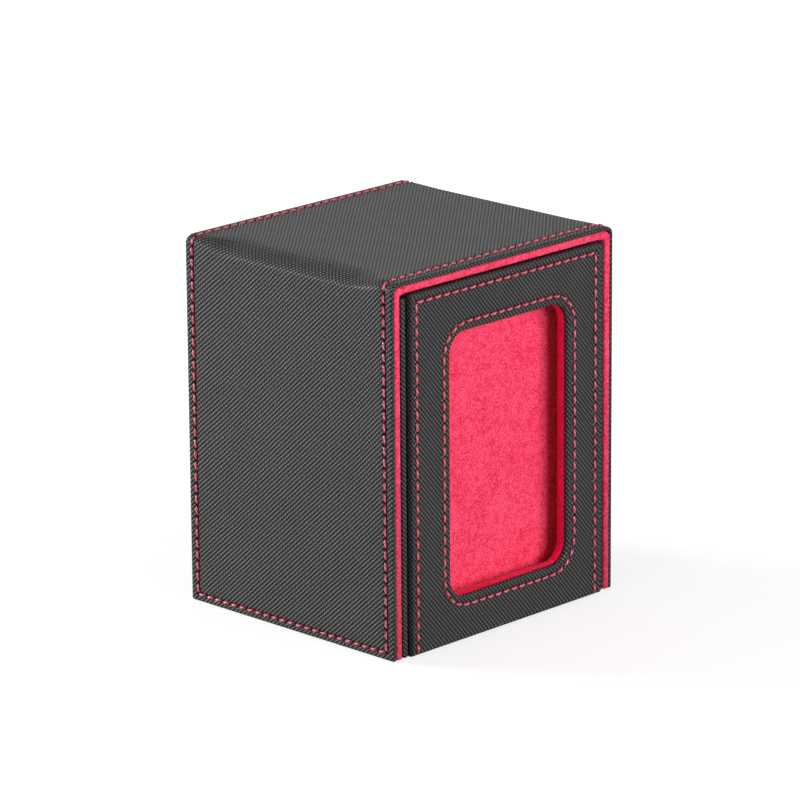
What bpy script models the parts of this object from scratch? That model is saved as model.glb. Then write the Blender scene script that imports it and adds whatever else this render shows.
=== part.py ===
"""Card storage box: a wrapped case, a drawer, and a window flap that folds down.

Lengths are in metres. X runs across the box, Y from its front to its rear, Z up.
The origin is on the ground, under the middle of the closed box.
"""
import math

import bmesh
import bpy
from mathutils import Matrix, Vector

MM = 0.001

# Case
CASE_WIDTH = 95.5 * MM
CASE_DEPTH = 86.5 * MM
CASE_HEIGHT = 115.0 * MM
COVER_THICKNESS = 1.3 * MM
FOLD_INNER_RADIUS = 2.7 * MM
BOARD_THICKNESS = 1.6 * MM
LINING_THICKNESS = 0.5 * MM
LINING_CORNER_RADIUS = 2.2 * MM
LINING_LIFT = 0.4 * MM
GLUE_LINE = 0.1 * MM
COVER_EDGE_ROLL = 0.5 * MM
LINING_EDGE_ROLL = 0.15 * MM

# Back and base of the case
BACK_RECESS = 0.4 * MM
BACK_COVER_THICKNESS = 0.9 * MM
BASE_COVER_THICKNESS = 0.6 * MM

# Drawer
DRAWER_GAP = 0.5 * MM
DRAWER_TOP_GAP = 1.4 * MM
SLIDE_GAP = 0.3 * MM
CHEEK_PROUD = 0.8 * MM
CHEEK_ROLL = 0.8 * MM
CHEEK_LIFT = 0.3 * MM
TOE_OVERLAP = 1.0 * MM
DRAWER_COVER_THICKNESS = 0.4 * MM
DRAWER_BOARD_THICKNESS = 1.1 * MM
DRAWER_LINING_THICKNESS = 0.3 * MM
DRAWER_FRONT_THICKNESS = 1.5 * MM

# Card display behind the window
SPACER_GAP = 0.4 * MM
SPACER_DEPTH = 4.0 * MM
POCKET_LAP = 8.75 * MM
POCKET_DROP = 4.0 * MM
POCKET_CORNER_RADIUS = 1.5 * MM
PANEL_THICKNESS = 1.9 * MM

# Flap and its window
FLAP_PROUD = 1.7 * MM
FLAP_THICKNESS = 4.9 * MM
FLAP_SIDE_GAP = 0.5 * MM
FLAP_TOP_GAP = 0.4 * MM
FLAP_CORNER_RADIUS = 2.0 * MM
FLAP_EDGE_ROLL = 1.6 * MM
FLAP_COVER_THICKNESS = 0.6 * MM
FLAP_LINING_THICKNESS = 0.5 * MM
FLAP_LINING_MARGIN = 0.2 * MM
FLAP_LINING_ROLL = 0.6 * MM
WINDOW_STILE = 15.4 * MM
WINDOW_SILL = 12.0 * MM
WINDOW_HEAD = 15.8 * MM
WINDOW_CORNER_RADIUS = 6.5 * MM
WINDOW_EDGE_ROLL = 1.0 * MM
WINDOW_TURN = 1.6 * MM

# Leather hinge under the flap
HINGE_THICKNESS = 0.4 * MM
HINGE_SETBACK = 1.4 * MM

# Magnets
CLOSING_MAGNET_RADIUS = 4.0 * MM
CLOSING_MAGNET_SPACING = 44.0 * MM
LATCH_MAGNET_RADIUS = 2.2 * MM
LATCH_MAGNET_LENGTH = 1.5 * MM
LATCH_MAGNET_DROP = 7.0 * MM
LATCH_MAGNET_INSET = 3.5 * MM
MAGNET_CLEARANCE = 0.3 * MM

# How far the cutting shapes run past what they cut
OVERRUN = 2.0 * MM

FOLD_SEGMENTS = 8
CORNER_SEGMENTS = 7
ROLL_SEGMENTS = 5
MAGNET_SEGMENTS = 24

# Depths, from the face of the flap to the rear of the case
OVERALL_DEPTH = CASE_DEPTH + FLAP_PROUD
FACE_Y = -OVERALL_DEPTH / 2
CASE_FRONT_Y = FACE_Y + FLAP_PROUD
CASE_REAR_Y = CASE_FRONT_Y + CASE_DEPTH
BACK_REAR_Y = CASE_REAR_Y - BACK_RECESS
BACK_BOARD_REAR_Y = BACK_REAR_Y - BACK_COVER_THICKNESS - GLUE_LINE
BACK_BOARD_FRONT_Y = BACK_BOARD_REAR_Y - BOARD_THICKNESS
BACK_LINING_REAR_Y = BACK_BOARD_FRONT_Y - GLUE_LINE
BACK_FRONT_Y = BACK_LINING_REAR_Y - LINING_THICKNESS
FLAP_BACK_Y = FACE_Y + FLAP_THICKNESS
FLAP_BOARD_BACK_Y = FLAP_BACK_Y - FLAP_LINING_THICKNESS - GLUE_LINE
SPACER_FRONT_Y = FLAP_BACK_Y + SPACER_GAP
SPACER_BACK_Y = SPACER_FRONT_Y + SPACER_DEPTH
PANEL_FRONT_Y = SPACER_BACK_Y + GLUE_LINE
PANEL_BACK_Y = PANEL_FRONT_Y + PANEL_THICKNESS
DRAWER_FRONT_BOARD_Y = PANEL_BACK_Y + GLUE_LINE
DRAWER_FRONT_BOARD_BACK_Y = DRAWER_FRONT_BOARD_Y + DRAWER_FRONT_THICKNESS
BAY_LINING_Y = DRAWER_FRONT_BOARD_BACK_Y + GLUE_LINE
BAY_FRONT_Y = BAY_LINING_Y + DRAWER_LINING_THICKNESS
CHEEK_FRONT_Y = CASE_FRONT_Y - CHEEK_PROUD
TOE_REAR_Y = BAY_FRONT_Y + TOE_OVERLAP
BASE_FRONT_Y = TOE_REAR_Y + DRAWER_GAP
DRAWER_REAR_Y = BACK_FRONT_Y - DRAWER_GAP
DRAWER_BACK_BOARD_REAR_Y = DRAWER_REAR_Y - DRAWER_COVER_THICKNESS - GLUE_LINE
DRAWER_BACK_BOARD_FRONT_Y = DRAWER_BACK_BOARD_REAR_Y - DRAWER_BOARD_THICKNESS
BAY_LINING_REAR_Y = DRAWER_BACK_BOARD_FRONT_Y - GLUE_LINE

# Layers of the case wall, measured inwards from its outside
BOARD_INSET = COVER_THICKNESS + GLUE_LINE
LINING_INSET = BOARD_INSET + BOARD_THICKNESS + GLUE_LINE
WALL = LINING_INSET + LINING_THICKNESS
FOLD_RADIUS = FOLD_INNER_RADIUS + COVER_THICKNESS
BACK_CORNER_RADIUS = FOLD_INNER_RADIUS - GLUE_LINE

# Half widths, from the outside of the case to the flap
HALF_WIDTH = CASE_WIDTH / 2
DRAWER_HALF = HALF_WIDTH - WALL - DRAWER_GAP
DRAWER_BOARD_OUT = DRAWER_HALF - DRAWER_COVER_THICKNESS - GLUE_LINE
DRAWER_BOARD_IN = DRAWER_BOARD_OUT - DRAWER_BOARD_THICKNESS
BAY_LINING_OUT = DRAWER_BOARD_IN - GLUE_LINE
BAY_HALF = BAY_LINING_OUT - DRAWER_LINING_THICKNESS
STACK_HALF = BAY_HALF - GLUE_LINE
FLAP_HALF = BAY_HALF - FLAP_SIDE_GAP
WINDOW_HALF = FLAP_HALF - WINDOW_STILE
POCKET_HALF = WINDOW_HALF + POCKET_LAP

# Heights
BASE_BOARD_Z = BASE_COVER_THICKNESS + GLUE_LINE
BASE_RIM_Z = BASE_BOARD_Z + BOARD_THICKNESS
BASE_LINING_Z = BASE_RIM_Z + GLUE_LINE
BASE_TOP_Z = BASE_LINING_Z + LINING_THICKNESS
DRAWER_BOTTOM_Z = BASE_TOP_Z + SLIDE_GAP
DRAWER_FLOOR_Z = DRAWER_BOTTOM_Z + DRAWER_COVER_THICKNESS + GLUE_LINE
BAY_LINING_Z = DRAWER_FLOOR_Z + DRAWER_BOARD_THICKNESS + GLUE_LINE
BAY_FLOOR_Z = BAY_LINING_Z + DRAWER_LINING_THICKNESS
DRAWER_TOP_Z = CASE_HEIGHT - WALL - DRAWER_TOP_GAP
RIM_Z = DRAWER_TOP_Z - DRAWER_LINING_THICKNESS
DRAWER_BOARD_TOP_Z = RIM_Z - GLUE_LINE
HINGE_TOP_Z = CHEEK_LIFT + HINGE_THICKNESS
FLAP_BOTTOM_Z = HINGE_TOP_Z + GLUE_LINE
FLAP_TOP_Z = CASE_HEIGHT - WALL - FLAP_TOP_GAP
WINDOW_LOW_Z = FLAP_BOTTOM_Z + WINDOW_SILL
WINDOW_HIGH_Z = FLAP_TOP_Z - WINDOW_HEAD
POCKET_FLOOR_Z = WINDOW_LOW_Z - POCKET_DROP
MIDDLE_Z = CASE_HEIGHT / 2
LATCH_MAGNET_X = FLAP_HALF - LATCH_MAGNET_INSET
LATCH_MAGNET_Z = FLAP_TOP_Z - LATCH_MAGNET_DROP

# Joint axes
SLIDE_ORIGIN = Vector((0.0, CHEEK_FRONT_Y, MIDDLE_Z))
HINGE_AXIS = Vector((0.0, FACE_Y + FLAP_COVER_THICKNESS, FLAP_BOTTOM_Z))


def clear_scene():
    """Remove every object that the new file starts with."""
    for item in list(bpy.data.objects):
        bpy.data.objects.remove(item, do_unlink=True)


def new_collection(name):
    """Add a collection to the scene."""
    group = bpy.data.collections.new(name)
    bpy.context.scene.collection.children.link(group)
    return group


def new_material(name, color, roughness, metallic=0.0):
    """Make a plain surface of one colour, roughness and metallic value."""
    material = bpy.data.materials.new(name)
    material.use_nodes = True
    surface = material.node_tree.nodes["Principled BSDF"]
    surface.inputs["Base Color"].default_value = (*color, 1.0)
    surface.inputs["Roughness"].default_value = roughness
    surface.inputs["Metallic"].default_value = metallic
    material.diffuse_color = (*color, 1.0)
    return material


def black_leatherette(name):
    """Embossed black leatherette, which covers the outside."""
    return new_material(name + "_leatherette", (0.022, 0.022, 0.024), 0.55)


def red_microfibre(name):
    """Red brushed microfibre, which lines the inside."""
    return new_material(name + "_microfibre", (0.80, 0.03, 0.09), 0.9)


def grey_board(name):
    """Bookbinder's greyboard, the stiffener in every wall."""
    return new_material(name + "_greyboard", (0.33, 0.31, 0.28), 0.95)


def nickel(name):
    """Nickel plating on a magnet."""
    return new_material(name + "_nickel", (0.72, 0.70, 0.66), 0.25, 1.0)


def new_piece(name, mesh, centre, group):
    """Put a mesh that is modelled about its own centre where it belongs."""
    piece = bpy.data.objects.new(name, mesh)
    piece.location = centre
    group.objects.link(piece)
    return piece


def finish_mesh(name, shape, facing=None):
    """Turn a bmesh into a mesh with smooth rounds and sharp corners.

    An open skin says which way its broadest face looks.
    """
    bmesh.ops.recalc_face_normals(shape, faces=shape.faces)
    if facing is not None:
        broadest = max(shape.faces, key=lambda face: face.calc_area())
        if broadest.normal.dot(facing) < 0.0:
            bmesh.ops.reverse_faces(shape, faces=shape.faces)
    mesh = bpy.data.meshes.new(name)
    shape.to_mesh(mesh)
    shape.free()
    mesh.shade_smooth()
    mesh.set_sharp_from_angle(angle=math.radians(40))
    return mesh


def along_axis(edge, axis):
    """Say whether an edge runs along X (0), Y (1) or Z (2)."""
    run = edge.verts[1].co - edge.verts[0].co
    return abs(run[axis]) > 0.9 * run.length


def round_edges(shape, axis, chosen, radius, segments):
    """Round the edges that run along an axis and that the test picks."""
    if radius <= 0.0:
        return
    edges = [edge for edge in shape.edges
             if along_axis(edge, axis) and chosen((edge.verts[0].co + edge.verts[1].co) / 2)]
    bmesh.ops.bevel(shape, geom=edges, offset=radius, segments=segments,
                    affect="EDGES", profile=0.5, clamp_overlap=True, material=-1)


def block(name, low, high, group, rounds=()):
    """Make a block between two corners, with some of its edges rounded."""
    low = Vector(low)
    high = Vector(high)
    shape = bmesh.new()
    bmesh.ops.create_cube(shape, size=1.0)
    bmesh.ops.scale(shape, vec=high - low, verts=shape.verts)
    for axis, chosen, radius, segments in rounds:
        round_edges(shape, axis, chosen, radius, segments)
    return new_piece(name, finish_mesh(name, shape), (low + high) / 2, group)


def arch(name, inset, radius, y_range, z_low, group):
    """Make a block with the case's outline, set in from its sides and top."""
    half = HALF_WIDTH - inset
    low = (-half, y_range[0], z_low)
    high = (half, y_range[1], CASE_HEIGHT - inset)
    top_edges = (1, lambda middle: middle.z > 0.0, radius, FOLD_SEGMENTS)
    return block(name, low, high, group, rounds=[top_edges])


def disc(name, centre, radius, length, group):
    """Make a round disc whose axis runs front to rear."""
    shape = bmesh.new()
    bmesh.ops.create_cone(shape, cap_ends=True, segments=MAGNET_SEGMENTS,
                          radius1=radius, radius2=radius, depth=length)
    bmesh.ops.rotate(shape, verts=shape.verts, cent=(0.0, 0.0, 0.0),
                     matrix=Matrix.Rotation(math.radians(90), 3, "X"))
    return new_piece(name, finish_mesh(name, shape), centre, group)


def as_tool(shape):
    """Keep a cutting or joining shape out of the model."""
    shape.hide_render = True
    shape.display_type = "WIRE"
    return shape


def boolean(piece, tool, operation):
    """Cut a shape from a piece, or join it on."""
    step = piece.modifiers.new(operation.lower() + "_" + tool.name, "BOOLEAN")
    step.operation = operation
    step.solver = "EXACT"
    step.object = as_tool(tool)


def roll_edges(piece, width):
    """Round all sharp edges a little, as turned leather or cloth is."""
    bevel = piece.modifiers.new("rolled_edges", "BEVEL")
    bevel.width = width
    bevel.segments = 2
    bevel.limit_method = "ANGLE"
    bevel.angle_limit = math.radians(60)


def dress(piece, material, carrier=None):
    """Give a piece its material and the moving assembly that carries it."""
    piece.data.materials.append(material)
    if carrier is not None:
        piece.location -= carrier.matrix_world.translation
        piece.parent = carrier
    return piece


def new_axis(name, place, carrier=None):
    """Add an empty on a joint's axis, to carry what moves about it."""
    axis = bpy.data.objects.new(name, None)
    axis.empty_display_size = WALL
    axis.location = place
    bpy.context.scene.collection.objects.link(axis)
    if carrier is not None:
        axis.location -= carrier.location
        axis.parent = carrier
    bpy.context.view_layer.update()
    return axis


def outline(half, z_low, z_high, radius, y):
    """Points round a rectangle with rounded corners that faces the front."""
    radius = min(radius, half, (z_high - z_low) / 2)
    points = []
    corners = ((half - radius, z_high - radius, 0), (radius - half, z_high - radius, 1),
               (radius - half, z_low + radius, 2), (half - radius, z_low + radius, 3))
    for x, z, quarter in corners:
        for step in range(CORNER_SEGMENTS + 1):
            turn = math.radians(90) * (quarter + step / CORNER_SEGMENTS)
            points.append(Vector((x + radius * math.cos(turn), y, z + radius * math.sin(turn))))
    return points


def flap_outline(inset, y):
    """The flap's outline, set in from its edges."""
    return outline(FLAP_HALF - inset, FLAP_BOTTOM_Z + inset, FLAP_TOP_Z - inset,
                   max(FLAP_CORNER_RADIUS - inset, GLUE_LINE), y)


def window_outline(margin, y):
    """The window's outline, widened by a margin."""
    return outline(WINDOW_HALF + margin, WINDOW_LOW_Z - margin, WINDOW_HIGH_Z + margin,
                   WINDOW_CORNER_RADIUS + margin, y)


def quarter_turn():
    """Sine and cosine at the steps of a rolled edge."""
    for step in range(ROLL_SEGMENTS + 1):
        turn = math.radians(90) * step / ROLL_SEGMENTS
        yield math.sin(turn), math.cos(turn)


def flap_front_rings(depth, y_outer_end, y_window_end):
    """Rings from the flap's outer edge over its face into the window.

    They lie the given depth behind the leather's outer surface.
    """
    outer_roll = max(FLAP_EDGE_ROLL - depth, GLUE_LINE)
    window_roll = max(WINDOW_EDGE_ROLL - depth, GLUE_LINE)
    front_y = FACE_Y + depth
    rings = [flap_outline(depth, y_outer_end)]
    for sine, cosine in quarter_turn():
        rings.append(flap_outline(depth + outer_roll * (1 - cosine),
                                  front_y + outer_roll * (1 - sine)))
    for sine, cosine in quarter_turn():
        rings.append(window_outline(depth + window_roll * (1 - sine),
                                    front_y + window_roll * (1 - cosine)))
    rings.append(window_outline(depth, y_window_end))
    return rings


def flap_back_rings():
    """Rings of the flap's lining, from inside the window over its back."""
    rings = [window_outline(0.0, FACE_Y + WINDOW_TURN + GLUE_LINE)]
    for sine, cosine in quarter_turn():
        rings.append(window_outline(FLAP_LINING_ROLL * (1 - cosine),
                                    FLAP_BACK_Y - FLAP_LINING_ROLL * (1 - sine)))
    rings.append(flap_outline(FLAP_LINING_MARGIN, FLAP_BACK_Y))
    return rings


def loft(rings, closed):
    """Skin a row of rings, and join the last to the first if it is closed."""
    shape = bmesh.new()
    hoops = [[shape.verts.new(point) for point in ring] for ring in rings]
    pairs = list(zip(hoops, hoops[1:]))
    if closed:
        pairs.append((hoops[-1], hoops[0]))
    for first, second in pairs:
        for i in range(len(first)):
            shape.faces.new((first[i - 1], first[i], second[i], second[i - 1]))
    return shape


def lofted_piece(name, rings, closed, group, facing=None):
    """Make a ring-shaped piece, with its origin on the hinge axis."""
    shape = loft(rings, closed)
    bmesh.ops.translate(shape, verts=shape.verts, vec=-HINGE_AXIS)
    return new_piece(name, finish_mesh(name, shape, facing), HINGE_AXIS, group)


def thicken(piece, thickness):
    """Give an open skin its thickness, behind the surface that shows."""
    wall = piece.modifiers.new("thickness", "SOLIDIFY")
    wall.thickness = thickness
    wall.offset = -1.0
    wall.use_even_offset = True


def case_cover(parts, tools):
    """Leatherette folded over the left side, the top and the right side."""
    ends = (CASE_FRONT_Y, CASE_REAR_Y)
    cover = arch("case_cover", 0.0, FOLD_RADIUS, ends, 0.0, parts)
    past_ends = (CASE_FRONT_Y - OVERRUN, CASE_REAR_Y + OVERRUN)
    inside = arch("case_cover_inside", COVER_THICKNESS, FOLD_INNER_RADIUS,
                  past_ends, -OVERRUN, tools)
    boolean(cover, inside, "DIFFERENCE")
    roll_edges(cover, COVER_EDGE_ROLL)
    return dress(cover, black_leatherette("case_cover"))


def case_boards(parts):
    """The three stiff boards inside the folded cover."""
    y_low = CASE_FRONT_Y + LINING_THICKNESS + GLUE_LINE
    y_high = BACK_FRONT_Y - GLUE_LINE
    outside = HALF_WIDTH - BOARD_INSET
    inside = outside - BOARD_THICKNESS
    z_low = LINING_LIFT + LINING_THICKNESS + GLUE_LINE
    z_high = CASE_HEIGHT - FOLD_RADIUS
    spans = (("left", -outside, -inside), ("right", inside, outside))
    for side, x_low, x_high in spans:
        name = "case_board_" + side
        board = block(name, (x_low, y_low, z_low), (x_high, y_high, z_high), parts)
        dress(board, grey_board(name))
    top = CASE_HEIGHT - BOARD_INSET
    half = HALF_WIDTH - FOLD_RADIUS
    board = block("case_board_top", (-half, y_low, top - BOARD_THICKNESS),
                  (half, y_high, top), parts)
    dress(board, grey_board("case_board_top"))


def case_lining(parts, tools):
    """Red lining inside the case, turned out over the boards' front and lower edges."""
    ends = (CASE_FRONT_Y, BACK_FRONT_Y - GLUE_LINE)
    lining = arch("case_lining", BOARD_INSET, FOLD_INNER_RADIUS - GLUE_LINE,
                  ends, LINING_LIFT, parts)
    past_ends = (CASE_FRONT_Y - OVERRUN, CASE_REAR_Y)
    inside = arch("case_lining_inside", WALL, LINING_CORNER_RADIUS, past_ends, -OVERRUN, tools)
    board_space = arch("case_board_space", -OVERRUN, 0.0,
                       (CASE_FRONT_Y + LINING_THICKNESS, CASE_REAR_Y),
                       LINING_LIFT + LINING_THICKNESS, tools)
    skin = arch("case_lining_skin", LINING_INSET, LINING_CORNER_RADIUS + LINING_THICKNESS,
                past_ends, -OVERRUN, tools)
    boolean(board_space, skin, "DIFFERENCE")
    boolean(lining, board_space, "DIFFERENCE")
    boolean(lining, inside, "DIFFERENCE")
    roll_edges(lining, LINING_EDGE_ROLL)
    return dress(lining, red_microfibre("case_lining"))


def case_back(parts, tools):
    """The back: a board in a leatherette tray, lined on its inner face."""
    cover = arch("back_cover", BOARD_INSET, BACK_CORNER_RADIUS,
                 (BACK_BOARD_FRONT_Y, BACK_REAR_Y), LINING_LIFT, parts)
    pocket_radius = max(BACK_CORNER_RADIUS - BACK_COVER_THICKNESS, GLUE_LINE)
    pocket = arch("back_cover_pocket", BOARD_INSET + BACK_COVER_THICKNESS, pocket_radius,
                  (BACK_BOARD_FRONT_Y - OVERRUN, BACK_REAR_Y - BACK_COVER_THICKNESS),
                  LINING_LIFT + BACK_COVER_THICKNESS, tools)
    boolean(cover, pocket, "DIFFERENCE")
    roll_edges(cover, LINING_EDGE_ROLL)
    dress(cover, black_leatherette("back_cover"))
    board = arch("back_board", BOARD_INSET + BACK_COVER_THICKNESS + GLUE_LINE, pocket_radius,
                 (BACK_BOARD_FRONT_Y, BACK_BOARD_REAR_Y),
                 LINING_LIFT + BACK_COVER_THICKNESS + GLUE_LINE, parts)
    dress(board, grey_board("back_board"))
    lining = arch("back_lining", BOARD_INSET, BACK_CORNER_RADIUS,
                  (BACK_FRONT_Y, BACK_LINING_REAR_Y), LINING_LIFT, parts)
    dress(lining, red_microfibre("back_lining"))
    return board


def case_base(parts, tools):
    """The base: a board in a leatherette tray, lined where the drawer slides."""
    half = HALF_WIDTH - WALL - GLUE_LINE
    y_high = BACK_FRONT_Y - GLUE_LINE
    cover = block("base_cover", (-half, BASE_FRONT_Y, 0.0), (half, y_high, BASE_RIM_Z), parts)
    pocket_half = half - BASE_COVER_THICKNESS
    pocket_ends = (BASE_FRONT_Y + BASE_COVER_THICKNESS, y_high - BASE_COVER_THICKNESS)
    pocket = block("base_cover_pocket", (-pocket_half, pocket_ends[0], BASE_COVER_THICKNESS),
                   (pocket_half, pocket_ends[1], BASE_RIM_Z + OVERRUN), tools)
    boolean(cover, pocket, "DIFFERENCE")
    roll_edges(cover, LINING_EDGE_ROLL)
    dress(cover, black_leatherette("base_cover"))
    board_half = pocket_half - GLUE_LINE
    board = block("base_board", (-board_half, pocket_ends[0] + GLUE_LINE, BASE_BOARD_Z),
                  (board_half, pocket_ends[1] - GLUE_LINE, BASE_RIM_Z), parts)
    dress(board, grey_board("base_board"))
    lining = block("base_lining", (-half, BASE_FRONT_Y, BASE_LINING_Z),
                   (half, y_high, BASE_TOP_Z), parts)
    dress(lining, red_microfibre("base_lining"))


def closing_magnets(prefix, board, y_low, y_high, parts, tools, carrier=None):
    """A pair of magnets let into a board, which pull the drawer shut."""
    for side, sign in (("left", -1), ("right", 1)):
        name = prefix + "_magnet_" + side
        centre = Vector((sign * CLOSING_MAGNET_SPACING / 2, (y_low + y_high) / 2, MIDDLE_Z))
        magnet = disc(name, centre, CLOSING_MAGNET_RADIUS, y_high - y_low, parts)
        hole = disc(name + "_hole", centre, CLOSING_MAGNET_RADIUS + MAGNET_CLEARANCE,
                    y_high - y_low + OVERRUN, tools)
        boolean(board, hole, "DIFFERENCE")
        dress(magnet, nickel(name), carrier)


def latch_magnets(prefix, board, y_low, y_open, parts, tools, carrier):
    """A pair of magnets in blind holes, which hold the flap up.

    The holes open towards y_open, and the magnets start at y_low.
    """
    for side, sign in (("left", -1), ("right", 1)):
        name = prefix + "_magnet_" + side
        place = Vector((sign * LATCH_MAGNET_X, y_low + LATCH_MAGNET_LENGTH / 2, LATCH_MAGNET_Z))
        magnet = disc(name, place, LATCH_MAGNET_RADIUS, LATCH_MAGNET_LENGTH, parts)
        opens_forward = y_open < place.y
        inner_end = place.y + LATCH_MAGNET_LENGTH / 2 + MAGNET_CLEARANCE
        if not opens_forward:
            inner_end = place.y - LATCH_MAGNET_LENGTH / 2 - MAGNET_CLEARANCE
        outer_end = y_open - OVERRUN if opens_forward else y_open + OVERRUN
        middle = Vector((place.x, (inner_end + outer_end) / 2, place.z))
        hole = disc(name + "_hole", middle, LATCH_MAGNET_RADIUS + MAGNET_CLEARANCE,
                    abs(outer_end - inner_end), tools)
        boolean(board, hole, "DIFFERENCE")
        dress(magnet, nickel(name), carrier)


def drawer_cover(parts, tools, carrier):
    """Leatherette round the drawer, with a rolled front edge on each side wall."""
    cover = block("drawer_cover", (-DRAWER_HALF, BAY_FRONT_Y, DRAWER_BOTTOM_Z),
                  (DRAWER_HALF, DRAWER_REAR_Y, DRAWER_TOP_Z), parts)
    skin = DRAWER_COVER_THICKNESS
    front_edges = (2, lambda middle: middle.y < 0.0, CHEEK_ROLL, ROLL_SEGMENTS)
    for side, sign in (("left", -1), ("right", 1)):
        spans = sorted((sign * BAY_HALF, sign * DRAWER_HALF))
        cheek = block("drawer_cheek_" + side, (spans[0], CHEEK_FRONT_Y, CHEEK_LIFT),
                      (spans[1], TOE_REAR_Y, DRAWER_TOP_Z), tools, rounds=[front_edges])
        boolean(cover, cheek, "UNION")
    bay = block("drawer_cover_inside",
                (skin - DRAWER_HALF, DRAWER_FRONT_BOARD_BACK_Y, DRAWER_BOTTOM_Z + skin),
                (DRAWER_HALF - skin, DRAWER_REAR_Y - skin, DRAWER_TOP_Z + OVERRUN), tools)
    boolean(cover, bay, "DIFFERENCE")
    for side, sign in (("left", -1), ("right", 1)):
        spans = sorted((sign * BAY_LINING_OUT, sign * (DRAWER_HALF - skin)))
        slot = block("drawer_board_slot_" + side,
                     (spans[0], CHEEK_FRONT_Y + skin, CHEEK_LIFT + skin),
                     (spans[1], TOE_REAR_Y - skin, DRAWER_TOP_Z + OVERRUN), tools)
        boolean(cover, slot, "DIFFERENCE")
    return dress(cover, black_leatherette("drawer_cover"), carrier)


def drawer_sides(parts, tools, carrier):
    """Side boards that stand behind the flap's edges and step over the base."""
    skin = DRAWER_COVER_THICKNESS + GLUE_LINE
    y_low = CHEEK_FRONT_Y + skin
    z_low = CHEEK_LIFT + skin
    for side, sign in (("left", -1), ("right", 1)):
        spans = sorted((sign * DRAWER_BOARD_IN, sign * DRAWER_BOARD_OUT))
        name = "drawer_side_" + side
        board = block(name, (spans[0], y_low, z_low),
                      (spans[1], DRAWER_BACK_BOARD_REAR_Y, DRAWER_BOARD_TOP_Z), parts)
        step = block(name + "_step", (spans[0] - OVERRUN, TOE_REAR_Y - skin, z_low - OVERRUN),
                     (spans[1] + OVERRUN, DRAWER_REAR_Y + OVERRUN, DRAWER_FLOOR_Z), tools)
        boolean(board, step, "DIFFERENCE")
        dress(board, grey_board(name), carrier)


def drawer_floor(parts, carrier):
    """The board that the cards stand on."""
    half = DRAWER_BOARD_IN - GLUE_LINE
    board = block("drawer_floor", (-half, BAY_LINING_Y, DRAWER_FLOOR_Z),
                  (half, DRAWER_BACK_BOARD_FRONT_Y - GLUE_LINE,
                   DRAWER_FLOOR_Z + DRAWER_BOARD_THICKNESS), parts)
    return dress(board, grey_board("drawer_floor"), carrier)


def drawer_back(parts, carrier):
    """The board across the rear of the drawer."""
    half = DRAWER_BOARD_IN - GLUE_LINE
    board = block("drawer_back", (-half, DRAWER_BACK_BOARD_FRONT_Y, DRAWER_FLOOR_Z),
                  (half, DRAWER_BACK_BOARD_REAR_Y, DRAWER_BOARD_TOP_Z), parts)
    return dress(board, grey_board("drawer_back"), carrier)


def drawer_front(parts, carrier):
    """The board between the cards and the display."""
    board = block("drawer_front", (-STACK_HALF, DRAWER_FRONT_BOARD_Y, FLAP_BOTTOM_Z),
                  (STACK_HALF, DRAWER_FRONT_BOARD_BACK_Y, DRAWER_BOARD_TOP_Z), parts)
    return dress(board, grey_board("drawer_front"), carrier)


def drawer_lining(parts, tools, carrier):
    """Red lining of the card bay, turned out over the boards' top edges."""
    lining = block("drawer_lining", (-BAY_LINING_OUT, BAY_LINING_Y, BAY_LINING_Z),
                   (BAY_LINING_OUT, BAY_LINING_REAR_Y, RIM_Z + DRAWER_LINING_THICKNESS / 2),
                   parts)
    rim = block("drawer_lining_rim", (-DRAWER_BOARD_OUT, BAY_LINING_Y, RIM_Z),
                (DRAWER_BOARD_OUT, DRAWER_BACK_BOARD_REAR_Y, DRAWER_TOP_Z), tools)
    front_rim = block("drawer_lining_front_rim", (-STACK_HALF, DRAWER_FRONT_BOARD_Y, RIM_Z),
                      (STACK_HALF, BAY_FRONT_Y, DRAWER_TOP_Z), tools)
    bay = block("drawer_lining_bay", (-BAY_HALF, BAY_FRONT_Y, BAY_FLOOR_Z),
                (BAY_HALF, BAY_LINING_REAR_Y - DRAWER_LINING_THICKNESS,
                 DRAWER_TOP_Z + OVERRUN), tools)
    boolean(lining, rim, "UNION")
    boolean(lining, front_rim, "UNION")
    boolean(lining, bay, "DIFFERENCE")
    return dress(lining, red_microfibre("drawer_lining"), carrier)


def display_panel(parts, carrier):
    """The red panel that the window shows when no card stands in the pocket."""
    panel = block("display_panel", (-STACK_HALF, PANEL_FRONT_Y, FLAP_BOTTOM_Z),
                  (STACK_HALF, PANEL_BACK_Y, DRAWER_TOP_Z), parts)
    return dress(panel, red_microfibre("display_panel"), carrier)


def display_spacer(parts, tools, carrier):
    """The U-shaped spacer that leaves a pocket for one card, open at its top."""
    spacer = block("display_spacer", (-STACK_HALF, SPACER_FRONT_Y, FLAP_BOTTOM_Z),
                   (STACK_HALF, SPACER_BACK_Y, DRAWER_TOP_Z), parts)
    low_edges = (1, lambda middle: middle.z < 0.0, POCKET_CORNER_RADIUS, ROLL_SEGMENTS)
    pocket = block("display_pocket",
                   (-POCKET_HALF, SPACER_FRONT_Y - OVERRUN, POCKET_FLOOR_Z),
                   (POCKET_HALF, SPACER_BACK_Y + OVERRUN, DRAWER_TOP_Z + OVERRUN),
                   tools, rounds=[low_edges])
    boolean(spacer, pocket, "DIFFERENCE")
    return dress(spacer, red_microfibre("display_spacer"), carrier)


def hinge_strip(parts, carrier):
    """The leather tongue under the flap, which ends at its folding line."""
    strip = block("hinge_strip", (-FLAP_HALF, FACE_Y + HINGE_SETBACK, CHEEK_LIFT),
                  (FLAP_HALF, DRAWER_FRONT_BOARD_BACK_Y, HINGE_TOP_Z), parts)
    return dress(strip, black_leatherette("hinge_strip"), carrier)


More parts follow.
